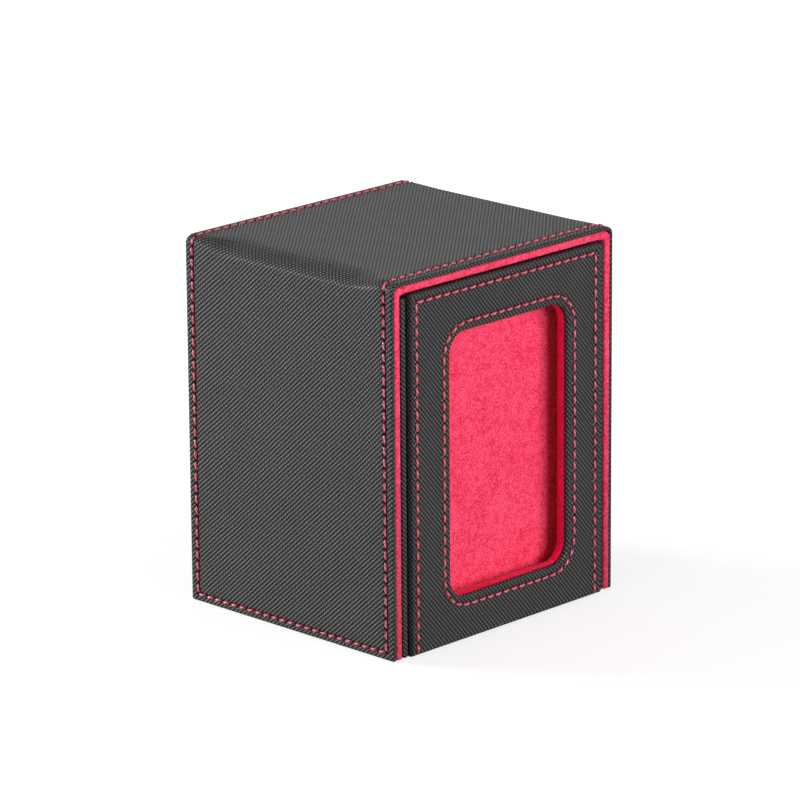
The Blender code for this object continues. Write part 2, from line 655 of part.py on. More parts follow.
def flap_cover(parts, carrier):
    """Leatherette over the flap, rolled round its edges and into the window."""
    rings = flap_front_rings(0.0, FLAP_BOARD_BACK_Y, FACE_Y + WINDOW_TURN)
    cover = lofted_piece("flap_cover", rings, False, parts, Vector((0.0, -1.0, 0.0)))
    thicken(cover, FLAP_COVER_THICKNESS)
    return dress(cover, black_leatherette("flap_cover"), carrier)


def flap_board(parts, carrier):
    """The flap's stiff frame, rounded where the leather rolls over it."""
    depth = FLAP_COVER_THICKNESS + GLUE_LINE
    rings = flap_front_rings(depth, FLAP_BOARD_BACK_Y, FLAP_BOARD_BACK_Y)
    board = lofted_piece("flap_board", rings, True, parts)
    return dress(board, grey_board("flap_board"), carrier)


def flap_lining(parts, carrier):
    """Red lining inside the window's edge and over the back of the flap."""
    lining = lofted_piece("flap_lining", flap_back_rings(), False, parts,
                          Vector((0.0, 1.0, 0.0)))
    thicken(lining, FLAP_LINING_THICKNESS)
    return dress(lining, red_microfibre("flap_lining"), carrier)


def build_case(parts, tools):
    """Everything that stays still."""
    case_cover(parts, tools)
    case_boards(parts)
    case_lining(parts, tools)
    back = case_back(parts, tools)
    closing_magnets("case", back, BACK_BOARD_FRONT_Y, BACK_BOARD_REAR_Y, parts, tools)
    case_base(parts, tools)


def build_drawer(parts, tools, slide):
    """Everything that slides out with the cards."""
    drawer_cover(parts, tools, slide)
    drawer_sides(parts, tools, slide)
    drawer_floor(parts, slide)
    drawer_front(parts, slide)
    back = drawer_back(parts, slide)
    closing_magnets("drawer", back, DRAWER_BACK_BOARD_FRONT_Y, DRAWER_BACK_BOARD_REAR_Y,
                    parts, tools, slide)
    drawer_lining(parts, tools, slide)
    display_panel(parts, slide)
    spacer = display_spacer(parts, tools, slide)
    latch_magnets("latch", spacer, SPACER_FRONT_Y + GLUE_LINE, SPACER_FRONT_Y,
                  parts, tools, slide)
    hinge_strip(parts, slide)


def build_flap(parts, tools, hinge):
    """Everything that folds down with the window."""
    flap_cover(parts, hinge)
    board = flap_board(parts, hinge)
    flap_lining(parts, hinge)
    magnet_y = FLAP_BOARD_BACK_Y - GLUE_LINE - LATCH_MAGNET_LENGTH
    latch_magnets("flap", board, magnet_y, FLAP_BOARD_BACK_Y, parts, tools, hinge)


def main():
    """Build the box, closed."""
    clear_scene()
    parts = new_collection("card_storage_box")
    tools = new_collection("cutters")
    slide = new_axis("drawer_slide", SLIDE_ORIGIN)
    hinge = new_axis("flap_hinge", HINGE_AXIS, slide)
    build_case(parts, tools)
    build_drawer(parts, tools, slide)
    build_flap(parts, tools, hinge)
    bpy.context.view_layer.update()


main()
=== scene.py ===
# %% [markdown]
# # Card storage box: the looks
# The box is a folded case of embossed black leatherette with a red lining, a drawer
# that slides out of it, and a window flap that folds down. The solids, joints and
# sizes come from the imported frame. This script dresses them: leather blanks that are
# hemmed and folded as a box maker folds them, sewn seams, brushed red cloth, a studio.

# %% Load the frame
import math
from bisect import bisect
from collections import namedtuple
from functools import lru_cache
from itertools import accumulate

import bmesh
import bpy
from mathutils import Matrix, Vector
from mathutils.kdtree import KDTree


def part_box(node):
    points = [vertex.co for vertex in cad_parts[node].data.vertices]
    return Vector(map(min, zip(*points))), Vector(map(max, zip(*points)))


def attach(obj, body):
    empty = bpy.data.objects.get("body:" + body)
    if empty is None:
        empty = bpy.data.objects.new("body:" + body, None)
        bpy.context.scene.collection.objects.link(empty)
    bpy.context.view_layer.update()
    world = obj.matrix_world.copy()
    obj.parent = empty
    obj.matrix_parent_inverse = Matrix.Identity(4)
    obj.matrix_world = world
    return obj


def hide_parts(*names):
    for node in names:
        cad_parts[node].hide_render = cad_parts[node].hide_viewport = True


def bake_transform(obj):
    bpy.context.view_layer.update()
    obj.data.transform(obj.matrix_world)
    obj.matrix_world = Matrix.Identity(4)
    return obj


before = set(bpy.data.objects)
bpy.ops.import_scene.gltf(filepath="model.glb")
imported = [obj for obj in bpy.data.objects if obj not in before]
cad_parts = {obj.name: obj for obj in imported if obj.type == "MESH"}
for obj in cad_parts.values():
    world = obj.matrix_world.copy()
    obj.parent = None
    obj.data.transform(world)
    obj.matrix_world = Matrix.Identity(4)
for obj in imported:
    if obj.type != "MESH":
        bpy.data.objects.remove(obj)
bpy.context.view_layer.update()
MM = 0.001

# %% [markdown]
# ## Places
# A place that a solid's box tells is read from the frame, so the looks follow the
# solids. A value that no box tells, such as how far a seam lies from its edge or how
# deep the card bay goes, gets a name where it is first needed.

# %% Places read from the frame
LEFT, FRONT, UP = Vector((-1.0, 0.0, 0.0)), Vector((0.0, -1.0, 0.0)), Vector((0.0, 0.0, 1.0))
QUARTER_TURN = math.pi / 2

cover_low, cover_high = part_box("case_cover")
drawer_low, drawer_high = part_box("drawer_cover")
flap_low, flap_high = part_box("flap_cover")

HALF_WIDTH = cover_high.x
HEIGHT = cover_high.z
CASE_FRONT_Y = cover_low.y
CASE_MIDDLE_Y = (cover_low.y + cover_high.y) / 2
CASE_HALF_DEPTH = (cover_high.y - cover_low.y) / 2
print("case: %.1f x %.1f x %.1f mm"
      % (2 * HALF_WIDTH / MM, 2 * CASE_HALF_DEPTH / MM, HEIGHT / MM))

# %% [markdown]
# ## Node helpers
# A procedural material is a graph of small nodes. Helpers keep the graphs short: one
# adds a node with its inputs, whether they are numbers or links, and the others name
# the sums and mixes that every finish needs. What is the same all over a surface is
# set on the shader itself.

# %% Node helpers
def fill(tree, item, inputs):
    """Fill a node's inputs with values, or link them to the results of other nodes."""
    for name, value in inputs.items():
        if isinstance(value, bpy.types.NodeSocket):
            tree.links.new(value, item.inputs[name])
        else:
            item.inputs[name].default_value = value


def add(tree, kind, inputs=None, **settings):
    """Add a node, set its options, and fill its inputs."""
    item = tree.nodes.new(kind)
    for name, value in settings.items():
        setattr(item, name, value)
    fill(tree, item, inputs or {})
    return item


# %% Sums, mixes and noise
def calc(tree, operation, first, second=0.0, third=0.0):
    """Add a Math node and return its result."""
    return add(tree, "ShaderNodeMath", {0: first, 1: second, 2: third},
               operation=operation).outputs[0]


def colour_between(tree, share, low, high):
    """Mix two colours by a share from 0 to 1."""
    low, high = [side if isinstance(side, bpy.types.NodeSocket) else (*side, 1.0)
                 for side in (low, high)]
    return add(tree, "ShaderNodeMix", {0: share, 6: low, 7: high}, data_type="RGBA").outputs[2]


def value_between(tree, share, low, high):
    """Map a share from 0 to 1 to a value between two."""
    return add(tree, "ShaderNodeMapRange", {0: share, 3: low, 4: high}).outputs[0]


def noise(tree, place, scale, detail=2.0, roughness=0.5):
    """Add a noise pattern, whose scale is in repeats to the unit of its place."""
    return add(tree, "ShaderNodeTexNoise", {"Vector": place, "Scale": scale, "Detail": detail,
                                            "Roughness": roughness}).outputs["Fac"]


def vector_calc(tree, operation, first, second, output="Vector"):
    """Add a Vector Math node and return its result."""
    inputs = {0: first, ("Scale" if operation == "SCALE" else 1): second}
    return add(tree, "ShaderNodeVectorMath", inputs, operation=operation).outputs[output]


def bumpy(tree, height, strength, distance):
    """Add a Bump node and return the normal that it gives."""
    return add(tree, "ShaderNodeBump", {"Height": height, "Strength": strength,
                                        "Distance": distance}).outputs[0]


def new_material(name):
    """Start a material and return it with its node tree and its surface shader."""
    material = bpy.data.materials.new(name)
    material.use_nodes = True
    tree = material.node_tree
    return material, tree, tree.nodes["Principled BSDF"]


# %% [markdown]
# ## Embossed leatherette
# The black sheet is pressed with small beads in rows. The rows make diagonal ribs, about
# one to the millimetre, and the gaps along a rib are shallower than those between ribs.
# Two cosines at right angles make that relief. It could be modelled bead by bead, but
# twenty thousand beads on one side are better pressed in by the material, as the real
# ones are. The valleys are duller than the tops, which rub on everything. The colour is
# painted light: painted shade darkens the valleys, and a painted highlight lightens the tops.

# %% The pressed pattern as a node group
RIBS_PER_MM = 0.925
BEADS_PER_MM = 0.95
RIB_ANGLE = math.radians(131.4)
SADDLE = 0.30
WANDERS_PER_MM = 0.12
WANDER_IN_MM = 0.25


def along(angle, count):
    """The way in which a row of ridges repeats, times their number to the millimetre."""
    return (math.cos(angle) * count, math.sin(angle) * count, 0.0)


def pressed_pattern():
    """A group that turns a place on the flat sheet, in millimetres, into the relief's height."""
    group = bpy.data.node_groups.new("pressed_beads", "ShaderNodeTree")
    group.interface.new_socket("Place", in_out="INPUT", socket_type="NodeSocketVector")
    group.interface.new_socket("Height", in_out="OUTPUT", socket_type="NodeSocketFloat")
    place = add(group, "NodeGroupInput").outputs["Place"]
    wander = add(group, "ShaderNodeTexNoise",
                 {"Vector": place, "Scale": WANDERS_PER_MM, "Detail": 1.0}).outputs["Color"]
    shift = vector_calc(group, "SUBTRACT", wander, (0.5, 0.5, 0.5))
    place = vector_calc(group, "ADD", place, vector_calc(group, "SCALE", shift, WANDER_IN_MM))
    heights = []
    for way in (along(RIB_ANGLE, RIBS_PER_MM), along(RIB_ANGLE - QUARTER_TURN, BEADS_PER_MM)):
        phase = vector_calc(group, "DOT_PRODUCT", place, way, "Value")
        wave = calc(group, "COSINE", calc(group, "MULTIPLY", phase, 2 * math.pi))
        heights.append(calc(group, "MULTIPLY_ADD", wave, 0.5, 0.5))
    bead = value_between(group, heights[1], SADDLE, 1.0)
    add(group, "NodeGroupOutput", {"Height": calc(group, "MULTIPLY", heights[0], bead)})
    return group


PRESSED = pressed_pattern()
print("pressed pattern: %d nodes" % len(PRESSED.nodes))

# %% Leatherette
# Painted light: the valley colour is painted shade and the ridge colour a painted highlight.
VALLEY_PAINTED_SHADE = (0.002, 0.002, 0.0022)
RIDGE_PAINTED_HIGHLIGHT = (0.112, 0.112, 0.115)
SEAM_PAINTED_SHADE = (0.001, 0.0008, 0.0008)
VALLEY_ROUGHNESS = 0.80
RIDGE_ROUGHNESS = 0.36
RIDGE_POLISH = 0.6
GRAIN_SHARE = 0.12
RELIEF = 0.36 * MM
SHADE_NAME = "seam_shade"


def leatherette(name):
    """Black leatherette, whose pattern lies on the flat blank that the piece is folded from."""
    material, tree, surface = new_material(name)
    place = add(tree, "ShaderNodeUVMap", uv_map="blank").outputs["UV"]
    height = add(tree, "ShaderNodeGroup", {"Place": place}, node_tree=PRESSED).outputs["Height"]
    shade = add(tree, "ShaderNodeAttribute", attribute_name=SHADE_NAME).outputs["Fac"]
    grain = noise(tree, place, 3.2, 3.0, 0.6)
    patchiness = value_between(tree, noise(tree, place, 0.06), 0.75, 1.2)
    # Painted light in the base colour: shade in the valleys, a highlight on the ridges, in random
    # patches.
    colour = colour_between(tree, calc(tree, "MULTIPLY", height, patchiness), VALLEY_PAINTED_SHADE, RIDGE_PAINTED_HIGHLIGHT)
    rough = value_between(tree, height, VALLEY_ROUGHNESS, RIDGE_ROUGHNESS)
    polish = calc(tree, "MULTIPLY", calc(tree, "POWER", height, 1.5),
                  calc(tree, "SUBTRACT", 1.0, shade))
    relief = calc(tree, "MULTIPLY_ADD", grain, GRAIN_SHARE, height)
    fill(tree, surface, {
        # At seams and holes the base colour turns to painted shade.
        "Base Color": colour_between(tree, shade, colour, SEAM_PAINTED_SHADE),
        "Roughness": calc(tree, "MULTIPLY_ADD", grain, GRAIN_SHARE, rough),
        "Specular IOR Level": 0.32,
        "Coat Weight": calc(tree, "MULTIPLY", polish, RIDGE_POLISH),
        "Coat Roughness": 0.26,
        "Normal": bumpy(tree, relief, 1.0, RELIEF)})
    return material


LEATHER = leatherette("pressed_black")
print("leatherette: %d nodes" % len(LEATHER.node_tree.nodes))

# %% [markdown]
# ## Red microfibre
# The lining is a brushed cloth: no thread shows, only a fine nap that catches light at
# its rim, and faint patches where the nap was stroked another way. Noise at three
# scales gives the fibres, the nap and the strokes, and sheen gives the soft rim.

# %% Microfibre
FIBRE_WEIGHT = 3.2
STROKE_WEIGHT = 0.5
TONE_MIDDLE = 1.85


def microfibre(name, low, high):
    """Brushed red cloth, whose nap goes from a low tone to a high one."""
    material, tree, surface = new_material(name)
    place = add(tree, "ShaderNodeTexCoord").outputs["Object"]
    fibres = noise(tree, place, 1500.0, 3.0, 0.7)
    nap = noise(tree, place, 500.0)
    strokes = noise(tree, place, 90.0)
    tone = calc(tree, "MULTIPLY_ADD", fibres, FIBRE_WEIGHT, nap)
    tone = calc(tree, "MULTIPLY_ADD", strokes, STROKE_WEIGHT,
                calc(tree, "SUBTRACT", tone, TONE_MIDDLE))
    fill(tree, surface, {
        "Base Color": colour_between(tree, tone, low, high),
        "Roughness": 0.95,
        "Specular IOR Level": 0.1,
        "Sheen Weight": 0.25,
        "Sheen Roughness": 0.45,
        "Sheen Tint": (1.0, 0.35, 0.45, 1.0),
        "Normal": bumpy(tree, calc(tree, "MULTIPLY_ADD", nap, 0.6, fibres), 0.6, 0.12 * MM)})
    return material


CLOTH = microfibre("red_nap", (0.68, 0.008, 0.050), (0.94, 0.100, 0.195))
# A copy of the same red nap whose colour is painted darker, as shade, for the flap's lining.
SHADED_CLOTH = microfibre("red_nap_painted_shade", (0.56, 0.001, 0.024), (0.86, 0.012, 0.085))
print("microfibre: %d nodes" % len(CLOTH.node_tree.nodes))

# %% [markdown]
# ## Thread, board and magnets
# Sewing thread is two or three plies twisted together, so its map runs round it and
# along it, and the plies are slanted ridges in that map. Greyboard is pressed from
# mixed paper, with short fibres in several greys. The magnets are nickel plated.

# %% Thread
PLIES = 2.0
TWIST = 0.7


def sewing_thread(name):
    """Red sewing thread, whose plies twist round it."""
    material, tree, surface = new_material(name)
    place = add(tree, "ShaderNodeUVMap", uv_map="thread").outputs["UV"]
    length, round_it, _ = add(tree, "ShaderNodeSeparateXYZ", {0: place}).outputs
    turn = calc(tree, "MULTIPLY_ADD", length, TWIST, calc(tree, "MULTIPLY", round_it, PLIES))
    ply = calc(tree, "ABSOLUTE", calc(tree, "SINE", calc(tree, "MULTIPLY", turn, math.pi)))
    end = calc(tree, "POWER", calc(tree, "ABSOLUTE", length), 3.0)
    # The colour is painted light: a highlight on each ply's crest, shade between the plies and
    # shade at the stitch's ends, where it dives into the holes, with a little random tone.
    tone = calc(tree, "MULTIPLY_ADD", noise(tree, place, 9.0), 0.3,
                calc(tree, "MULTIPLY", ply, 0.9))
    tone = calc(tree, "SUBTRACT", tone, calc(tree, "MULTIPLY", end, 0.35))
    fill(tree, surface, {
        "Base Color": colour_between(tree, tone, (0.14, 0.001, 0.008), (0.94, 0.14, 0.22)),
        "Roughness": 0.30,
        "Specular IOR Level": 0.75,
        "Normal": bumpy(tree, ply, 1.0, 0.08 * MM)})
    return material


THREAD = sewing_thread("red_thread")
print("thread: %d nodes" % len(THREAD.node_tree.nodes))

# %% Greyboard and nickel
def greyboard(name):
    """Bookbinder's board, pressed from mixed paper fibres."""
    material, tree, surface = new_material(name)
    place = add(tree, "ShaderNodeTexCoord").outputs["Object"]
    fibres = noise(tree, place, 1800.0, 4.0, 0.7)
    clouds = noise(tree, place, 160.0, 3.0)
    tone = calc(tree, "MULTIPLY_ADD", fibres, 0.6, calc(tree, "MULTIPLY", clouds, 0.4))
    fill(tree, surface, {
        "Base Color": colour_between(tree, tone, (0.22, 0.20, 0.18), (0.46, 0.44, 0.40)),
        "Roughness": 0.9,
        "Normal": bumpy(tree, fibres, 0.5, 0.05 * MM)})
    return material


def nickel_plate(name):
    """Nickel plating, with faint tumbling marks."""
    material, tree, surface = new_material(name)
    marks = noise(tree, add(tree, "ShaderNodeTexCoord").outputs["Object"], 1500.0, 4.0, 0.7)
    fill(tree, surface, {
        "Base Color": (0.72, 0.70, 0.66, 1.0),
        "Metallic": 1.0,
        "Roughness": value_between(tree, marks, 0.16, 0.34),
        "Normal": bumpy(tree, marks, 0.3, 0.02 * MM)})
    return material


GREYBOARD = greyboard("grey_board")
NICKEL = nickel_plate("nickel_plate")
BARE_BOARDS = ("drawer_floor", "drawer_front", "drawer_back")
for name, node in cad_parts.items():
    if "magnet" in name or "board" in name or name in BARE_BOARDS:
        for slot in node.material_slots:
            slot.material = NICKEL if "magnet" in name else GREYBOARD
print("materials:", ", ".join(material.name for material in bpy.data.materials))

# %% [markdown]
# ## Finishing a piece
# A bmesh becomes an object in one place, so every piece gets the same care: smooth
# shading that breaks at sharp edges, a body to ride on, a slot for its finish, and the
# solids that it stands for. A sheet is modelled as the side that shows, and Solidify
# gives it its thickness behind.


def piece_from(shape, name, material, showing=None):
    """Make an object from a bmesh. An open sheet says which way its broadest face looks."""
    bmesh.ops.recalc_face_normals(shape, faces=shape.faces)
    shape.normal_update()
    if showing is not None:
        broadest = max(shape.faces,
                       key=lambda face: face.calc_area() * abs(face.normal.dot(showing)))
        if broadest.normal.dot(showing) < 0.0:
            bmesh.ops.reverse_faces(shape, faces=shape.faces)
    mesh = bpy.data.meshes.new(name)
    shape.to_mesh(mesh)
    shape.free()
    mesh.shade_smooth()
    mesh.set_sharp_from_angle(angle=math.radians(50))
    mesh.materials.append(material)
    piece = bpy.data.objects.new(name, mesh)
    bpy.context.scene.collection.objects.link(piece)
    return piece


def thicken(piece, thickness):
    """Thicken a sheet behind the side that shows."""
    wall = piece.modifiers.new("thickness", "SOLIDIFY")
    wall.thickness = thickness
    wall.offset = -1.0
    return piece


def carry(piece, body, *nodes):
    """Let a piece ride on a body and stand for the solids that it dresses."""
    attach(piece, body)
    if nodes:
        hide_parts(*nodes)
    print("%-22s %6d faces, rides on %s" % (piece.name, len(piece.data.polygons), body))


# %% [markdown]
# ## Blanks and hems
# A leather part starts as a flat blank with rounded corners. Here it is a set of rings
# of edges, one inside the other: the first comes from a quad with bevelled corners, and
# each next one is extruded from the last and moved. Close rings follow a seam, so that
# the leather can sink under the thread. What lies past a line is then rolled back, which
# makes the hem. A power on the roll's sines makes it crisper or softer, as a hem gets
# that is pressed or left alone. Drawing the hem in 3-D would be quicker once, but the
# flat blank also gives the pattern its true place, and any seam on it folds along.

# %% Rings of edges
CORNER_STEPS = 6
Outline = namedtuple("Outline", "half centre radii")


def outline_between(low, high, *radii):
    """A rounded rectangle between two corners, with a radius below and one above."""
    return Outline([(high[i] - low[i]) / 2 for i in (0, 1)],
                   [(high[i] + low[i]) / 2 for i in (0, 1)], (radii[0], radii[-1]))


def outset(outline, margin):
    """A rounded rectangle that lies a margin outside another."""
    return Outline([size + margin for size in outline.half], outline.centre,
                   [radius + margin for radius in outline.radii])


def new_ring(shape, outline, step, height=0.0):
    """Make a ring of edges round a rounded rectangle, its sides cut to a step."""
    half, centre, radii = outline
    old = set(shape.edges)
    made = bmesh.ops.create_grid(shape, x_segments=1, y_segments=1, size=1.0)["verts"]
    bmesh.ops.scale(shape, vec=(half[0], half[1], 1.0), verts=made)
    bmesh.ops.translate(shape, vec=(centre[0], centre[1], 0.0), verts=made)
    lower = [vertex for vertex in made if vertex.co.y < centre[1]]
    upper = [vertex for vertex in made if vertex.co.y > centre[1]]
    for corners, radius in ((lower, radii[0]), (upper, radii[1])):
        bmesh.ops.bevel(shape, geom=corners, offset=radius, segments=CORNER_STEPS,
                        affect="VERTICES", profile=0.5, material=-1)
    face = next(edge for edge in shape.edges if edge not in old).link_faces[0]
    bmesh.ops.delete(shape, geom=[face], context="FACES_ONLY")
    for edge in [edge for edge in shape.edges if edge not in old]:
        cuts = round(edge.calc_length() / step) - 1
        if cuts > 0:
            bmesh.ops.subdivide_edges(shape, edges=[edge], cuts=cuts)
    ring = [edge for edge in shape.edges if edge not in old]
    bmesh.ops.translate(shape, vec=UP * height,
                        verts=list({vertex for edge in ring for vertex in edge.verts}))
    return ring


def next_ring(shape, ring, move):
    """Extrude a ring of edges, and move the new vertices by a rule."""
    made = bmesh.ops.extrude_edge_only(shape, edges=ring)["geom"]
    vertices = {item for item in made if isinstance(item, bmesh.types.BMVert)}
    for vertex in vertices:
        vertex.co = move(vertex.co)
    return [item for item in made if isinstance(item, bmesh.types.BMEdge)
            and item.verts[0] in vertices and item.verts[1] in vertices]


# %% Rules that move a ring
def from_core(place, outline):
    """The nearest point of the rectangle through the corners' centres, and the way out of it."""
    half, centre, radii = outline
    radius = radii[0] if place[1] < centre[1] else radii[1]
    inner = [centre[i] + max(radius - half[i], min(half[i] - radius, place[i] - centre[i]))
             for i in (0, 1)]
    core = Vector((inner[0], inner[1], 0.0))
    return core, Vector((place[0], place[1], 0.0)) - core, radius


def to_margin(outline, margin, height=0.0):
    """A rule that moves a vertex to a margin outside the rounded rectangle."""
    def move(place):
        core, out, radius = from_core(place, outline)
        return core + out.normalized() * (radius + margin) + UP * height
    return move


def shrink(centre, old, new):
    """A rule that shrinks a ring from one half size to another."""
    def move(place):
        return Vector([centre[i] + (place[i] - centre[i]) * new[i] / old[i]
                       for i in (0, 1)] + [0.0])
    return move


# %% How a hem rolls
Blank = namedtuple("Blank", "outline hem_radius turn reach crisp")


def squarer(value, crisp):
    """A sine or a cosine raised to a power: below 1, the round corner it draws gets squarer."""
    return math.copysign(abs(value) ** crisp, value)


def rolled(distance, radius, turn, crisp=1.0):
    """How far out and how far back a sheet lies, at a distance past the line where it rolls."""
    angle = min(distance / radius, turn)
    rest = distance - radius * angle
    return (radius * squarer(math.sin(angle), crisp) + rest * math.cos(angle),
            radius * (1 - squarer(math.cos(angle), crisp)) + rest * math.sin(angle))


def board_blank(outline, hem_radius, depth, crisp):
    """A blank whose hem rolls over a board's edge and goes back by a depth."""
    reach = hem_radius * QUARTER_TURN + depth - hem_radius
    return Blank(outline, hem_radius, QUARTER_TURN, reach, crisp)


def hemmed(blank, u, v):
    """Where a place of the blank lies once its hem is rolled, and how far back."""
    core, out, radius = from_core((u, v), blank.outline)
    distance = out.length - (radius - blank.hem_radius)
    if distance <= 0.0:
        return Vector((u, v, 0.0)), 0.0
    crisp = blank.crisp(u, v)
    outward, back = rolled(distance, blank.hem_radius, blank.turn, crisp)
    way = out.normalized()
    way = Vector((squarer(way.x, crisp), squarer(way.y, crisp), 0.0))
    return core + way * (radius - blank.hem_radius + outward), back


# %% The rings of a hem
HEM_STEPS = 8
SAME_RING = 0.1 * MM


def hem_rings(shape, blank, step):
    """The rings of a blank's hem, from its raw edge to the line where it rolls."""
    raw = blank.reach - blank.hem_radius
    ring = new_ring(shape, outset(blank.outline, raw), step)
    arc = blank.hem_radius * blank.turn
    margins = [arc * i / HEM_STEPS - blank.hem_radius for i in range(HEM_STEPS, -1, -1)]
    if raw - margins[0] < SAME_RING:
        margins.pop(0)
    for margin in margins:
        ring = next_ring(shape, ring, to_margin(blank.outline, margin))
    return ring


def inset_rings(shape, blank, ring, insets):
    """More rings inside the hem, at the given distances from the blank's outline."""
    old = [size - blank.hem_radius for size in blank.outline.half]
    for inset in insets:
        new = [size - inset for size in blank.outline.half]
        ring = next_ring(shape, ring, shrink(blank.outline.centre, old, new))
        old = new
    return ring


def keep_blank_map(shape, to_map):
    """Store each corner's place on the blank, in millimetres, for the pressed pattern."""
    lay = shape.loops.layers.uv.new("blank")
    for face in shape.faces:
        for loop in face.loops:
            loop[lay].uv = [value / MM for value in to_map(loop.vert.co)]


# %% [markdown]
# ## Seams
# A seam is a row of stitches between holes. The thread lies on the leather, dips into
# each hole, and leans a little, because a lockstitch twists. The leather is drawn down
# along the seam and most at the holes. A tree of points finds the nearest stretch of
# seam for each vertex, which is fast and needs no formula for corners.

# %% Where the stitches lie on a flat blank
def straight_seam(start, end, pitch):
    """Stitches from one corner to another, as pairs of holes."""
    count = max(1, round((end - start).length / pitch))
    holes = [start.lerp(end, i / count) for i in range(count + 1)]
    return list(zip(holes, holes[1:]))


def round_seam(path, pitch):
    """Stitches along a closed path of points, as pairs of holes."""
    lengths = [(path[i - 1] - path[i]).length for i in range(len(path))]
    count = round(sum(lengths) / pitch)
    step = sum(lengths) / count
    holes = []
    walked = 0.0
    for i, length in enumerate(lengths):
        while len(holes) < count and len(holes) * step < walked + length:
            holes.append(path[i - 1].lerp(path[i], (len(holes) * step - walked) / length))
        walked += length
    return list(zip(holes, holes[1:] + holes[:1]))


# %% Draw the leather in along a seam
GROOVE_DEPTH = 0.30 * MM
GROOVE_WIDTH = 0.75 * MM
HOLE_DEPTH = 0.65 * MM
HOLE_WIDTH = 0.45 * MM
# Painted shade: how dark the leather's colour is painted at the holes and along the seam.
HOLE_SHADE = 1.7
SEAM_SHADE = 0.8
SEAM_SHADE_WIDTH = 0.65 * MM
POINTS_PER_STITCH = 16


def point_tree(points):
    """A tree that finds the nearest of some points."""
    tree = KDTree(len(points))
    for i, point in enumerate(points):
        tree.insert(point, i)
    tree.balance()
    return tree


def spread(low, high, count):
    """Evenly spaced values from one to another."""
    return [low + (high - low) * i / count for i in range(count + 1)]


def bell(distance, width):
    """1 at no distance, and less further away."""
    return math.exp(-(distance / width) ** 2)


def draw_in(shape, stitches, fold):
    """Sink the leather under a seam, and fold every vertex to its place."""
    seam = point_tree([start.lerp(end, share) for start, end in stitches
                       for share in spread(0.0, 1.0, POINTS_PER_STITCH)])
    holes = point_tree([hole for stitch in stitches for hole in stitch])
    # Each vertex stores how much painted shade its colour gets: most at the holes, less along the
    # seam.
    layer = shape.verts.layers.float.new(SHADE_NAME)
    for vertex in shape.verts:
        hole = bell(holes.find(vertex.co)[2], HOLE_WIDTH)
        away = seam.find(vertex.co)[2]
        line = SEAM_SHADE * bell(away, SEAM_SHADE_WIDTH)
        vertex[layer] = min(1.0, max(HOLE_SHADE * hole, line))
        depth = GROOVE_DEPTH * bell(away, GROOVE_WIDTH) + HOLE_DEPTH * hole
        vertex.co = fold(vertex.co.x, vertex.co.y, depth)


# %% One stitch
STITCH_SIDES = 7
STITCH_CUTS = (-0.44, -0.36, -0.18, 0.0, 0.18, 0.36, 0.44)
THREAD_MAP_LENGTH = 3.0


def on_axis(axis, length=1.0):
    """A vector along X, Y or Z, which are axes 0, 1 and 2."""
    return Vector([length * (i == axis) for i in range(3)])


def cut_all(shape, axis, place):
    """Cut a whole mesh square to an axis."""
    bmesh.ops.bisect_plane(shape, geom=shape.verts[:] + shape.edges[:] + shape.faces[:],
                           plane_co=on_axis(axis, place), plane_no=on_axis(axis))


def stitch_mesh():
    """A stitch along X, one long and one in radius, before it takes its size and bend."""
    shape = bmesh.new()
    bmesh.ops.create_cone(shape, cap_ends=True, segments=STITCH_SIDES, radius1=1.0, radius2=1.0,
                          depth=1.0, matrix=Matrix.Rotation(math.radians(90), 4, "Y"))
    for share in STITCH_CUTS:
        cut_all(shape, 0, share)
    lay = shape.loops.layers.uv.new("thread")
    for face in shape.faces:
        middle = face.calc_center_median()
        about = math.atan2(middle.z, middle.y)
        for loop in face.loops:
            turn = math.atan2(loop.vert.co.z, loop.vert.co.y) - about
            turn = (turn + math.pi) % (2 * math.pi) - math.pi + about
            loop[lay].uv = (loop.vert.co.x * THREAD_MAP_LENGTH, turn / (2 * math.pi))
    mesh = bpy.data.meshes.new("stitch")
    shape.to_mesh(mesh)
    shape.free()
    return mesh


STITCH = stitch_mesh()
print("stitch: %d faces" % len(STITCH.polygons))

# %% Rows of stitches, folded with the leather
STITCH_SPAN = 0.90
THREAD_RADIUS = 0.37 * MM
THREAD_SLANT = 0.17 * MM
THREAD_DIVE = 0.9 * MM
THREAD_TAPER = 0.45
END_POWER = 6


def sew(stitches, fold):
    """Lay a stitch between each pair of holes, bent by the rule that folds the leather."""
    shape = bmesh.new()
    for start, end in stitches:
        first = len(shape.verts)
        shape.from_mesh(STITCH)
        shape.verts.ensure_lookup_table()
        side = Vector((start.y - end.y, end.x - start.x, 0.0)).normalized()
        for vertex in shape.verts[first:]:
            share, sideways, up = vertex.co
            near_end = abs(2 * share) ** END_POWER
            radius = THREAD_RADIUS * (1.0 - THREAD_TAPER * near_end)
            flat = start.lerp(end, 0.5 + share * STITCH_SPAN)
            flat = flat + side * (sideways * radius + 2 * share * THREAD_SLANT)
            depth = GROOVE_DEPTH - THREAD_RADIUS - up * radius + THREAD_DIVE * near_end
            vertex.co = fold(flat.x, flat.y, depth)
    return shape


# %% [markdown]
# ## The case's leather
# One sheet covers the left side, the top and the right side. Its blank is a long
# rectangle, as wide as the case is deep. A seam runs round it near the edge, the edges
# are rolled under, and the sheet bends over the two upper corners of the case. The left
# fold is slack in its middle, where nothing holds it, and tight at its edges, where it
# is sewn. The right fold is tight all along. Bending is a rule that takes a place on the
# blank to its place on the box, so the thread is laid by the same rule and follows the
# fold. A fold's width changes along it, and distances are measured along its curve, so
# that the pattern isn't stretched.

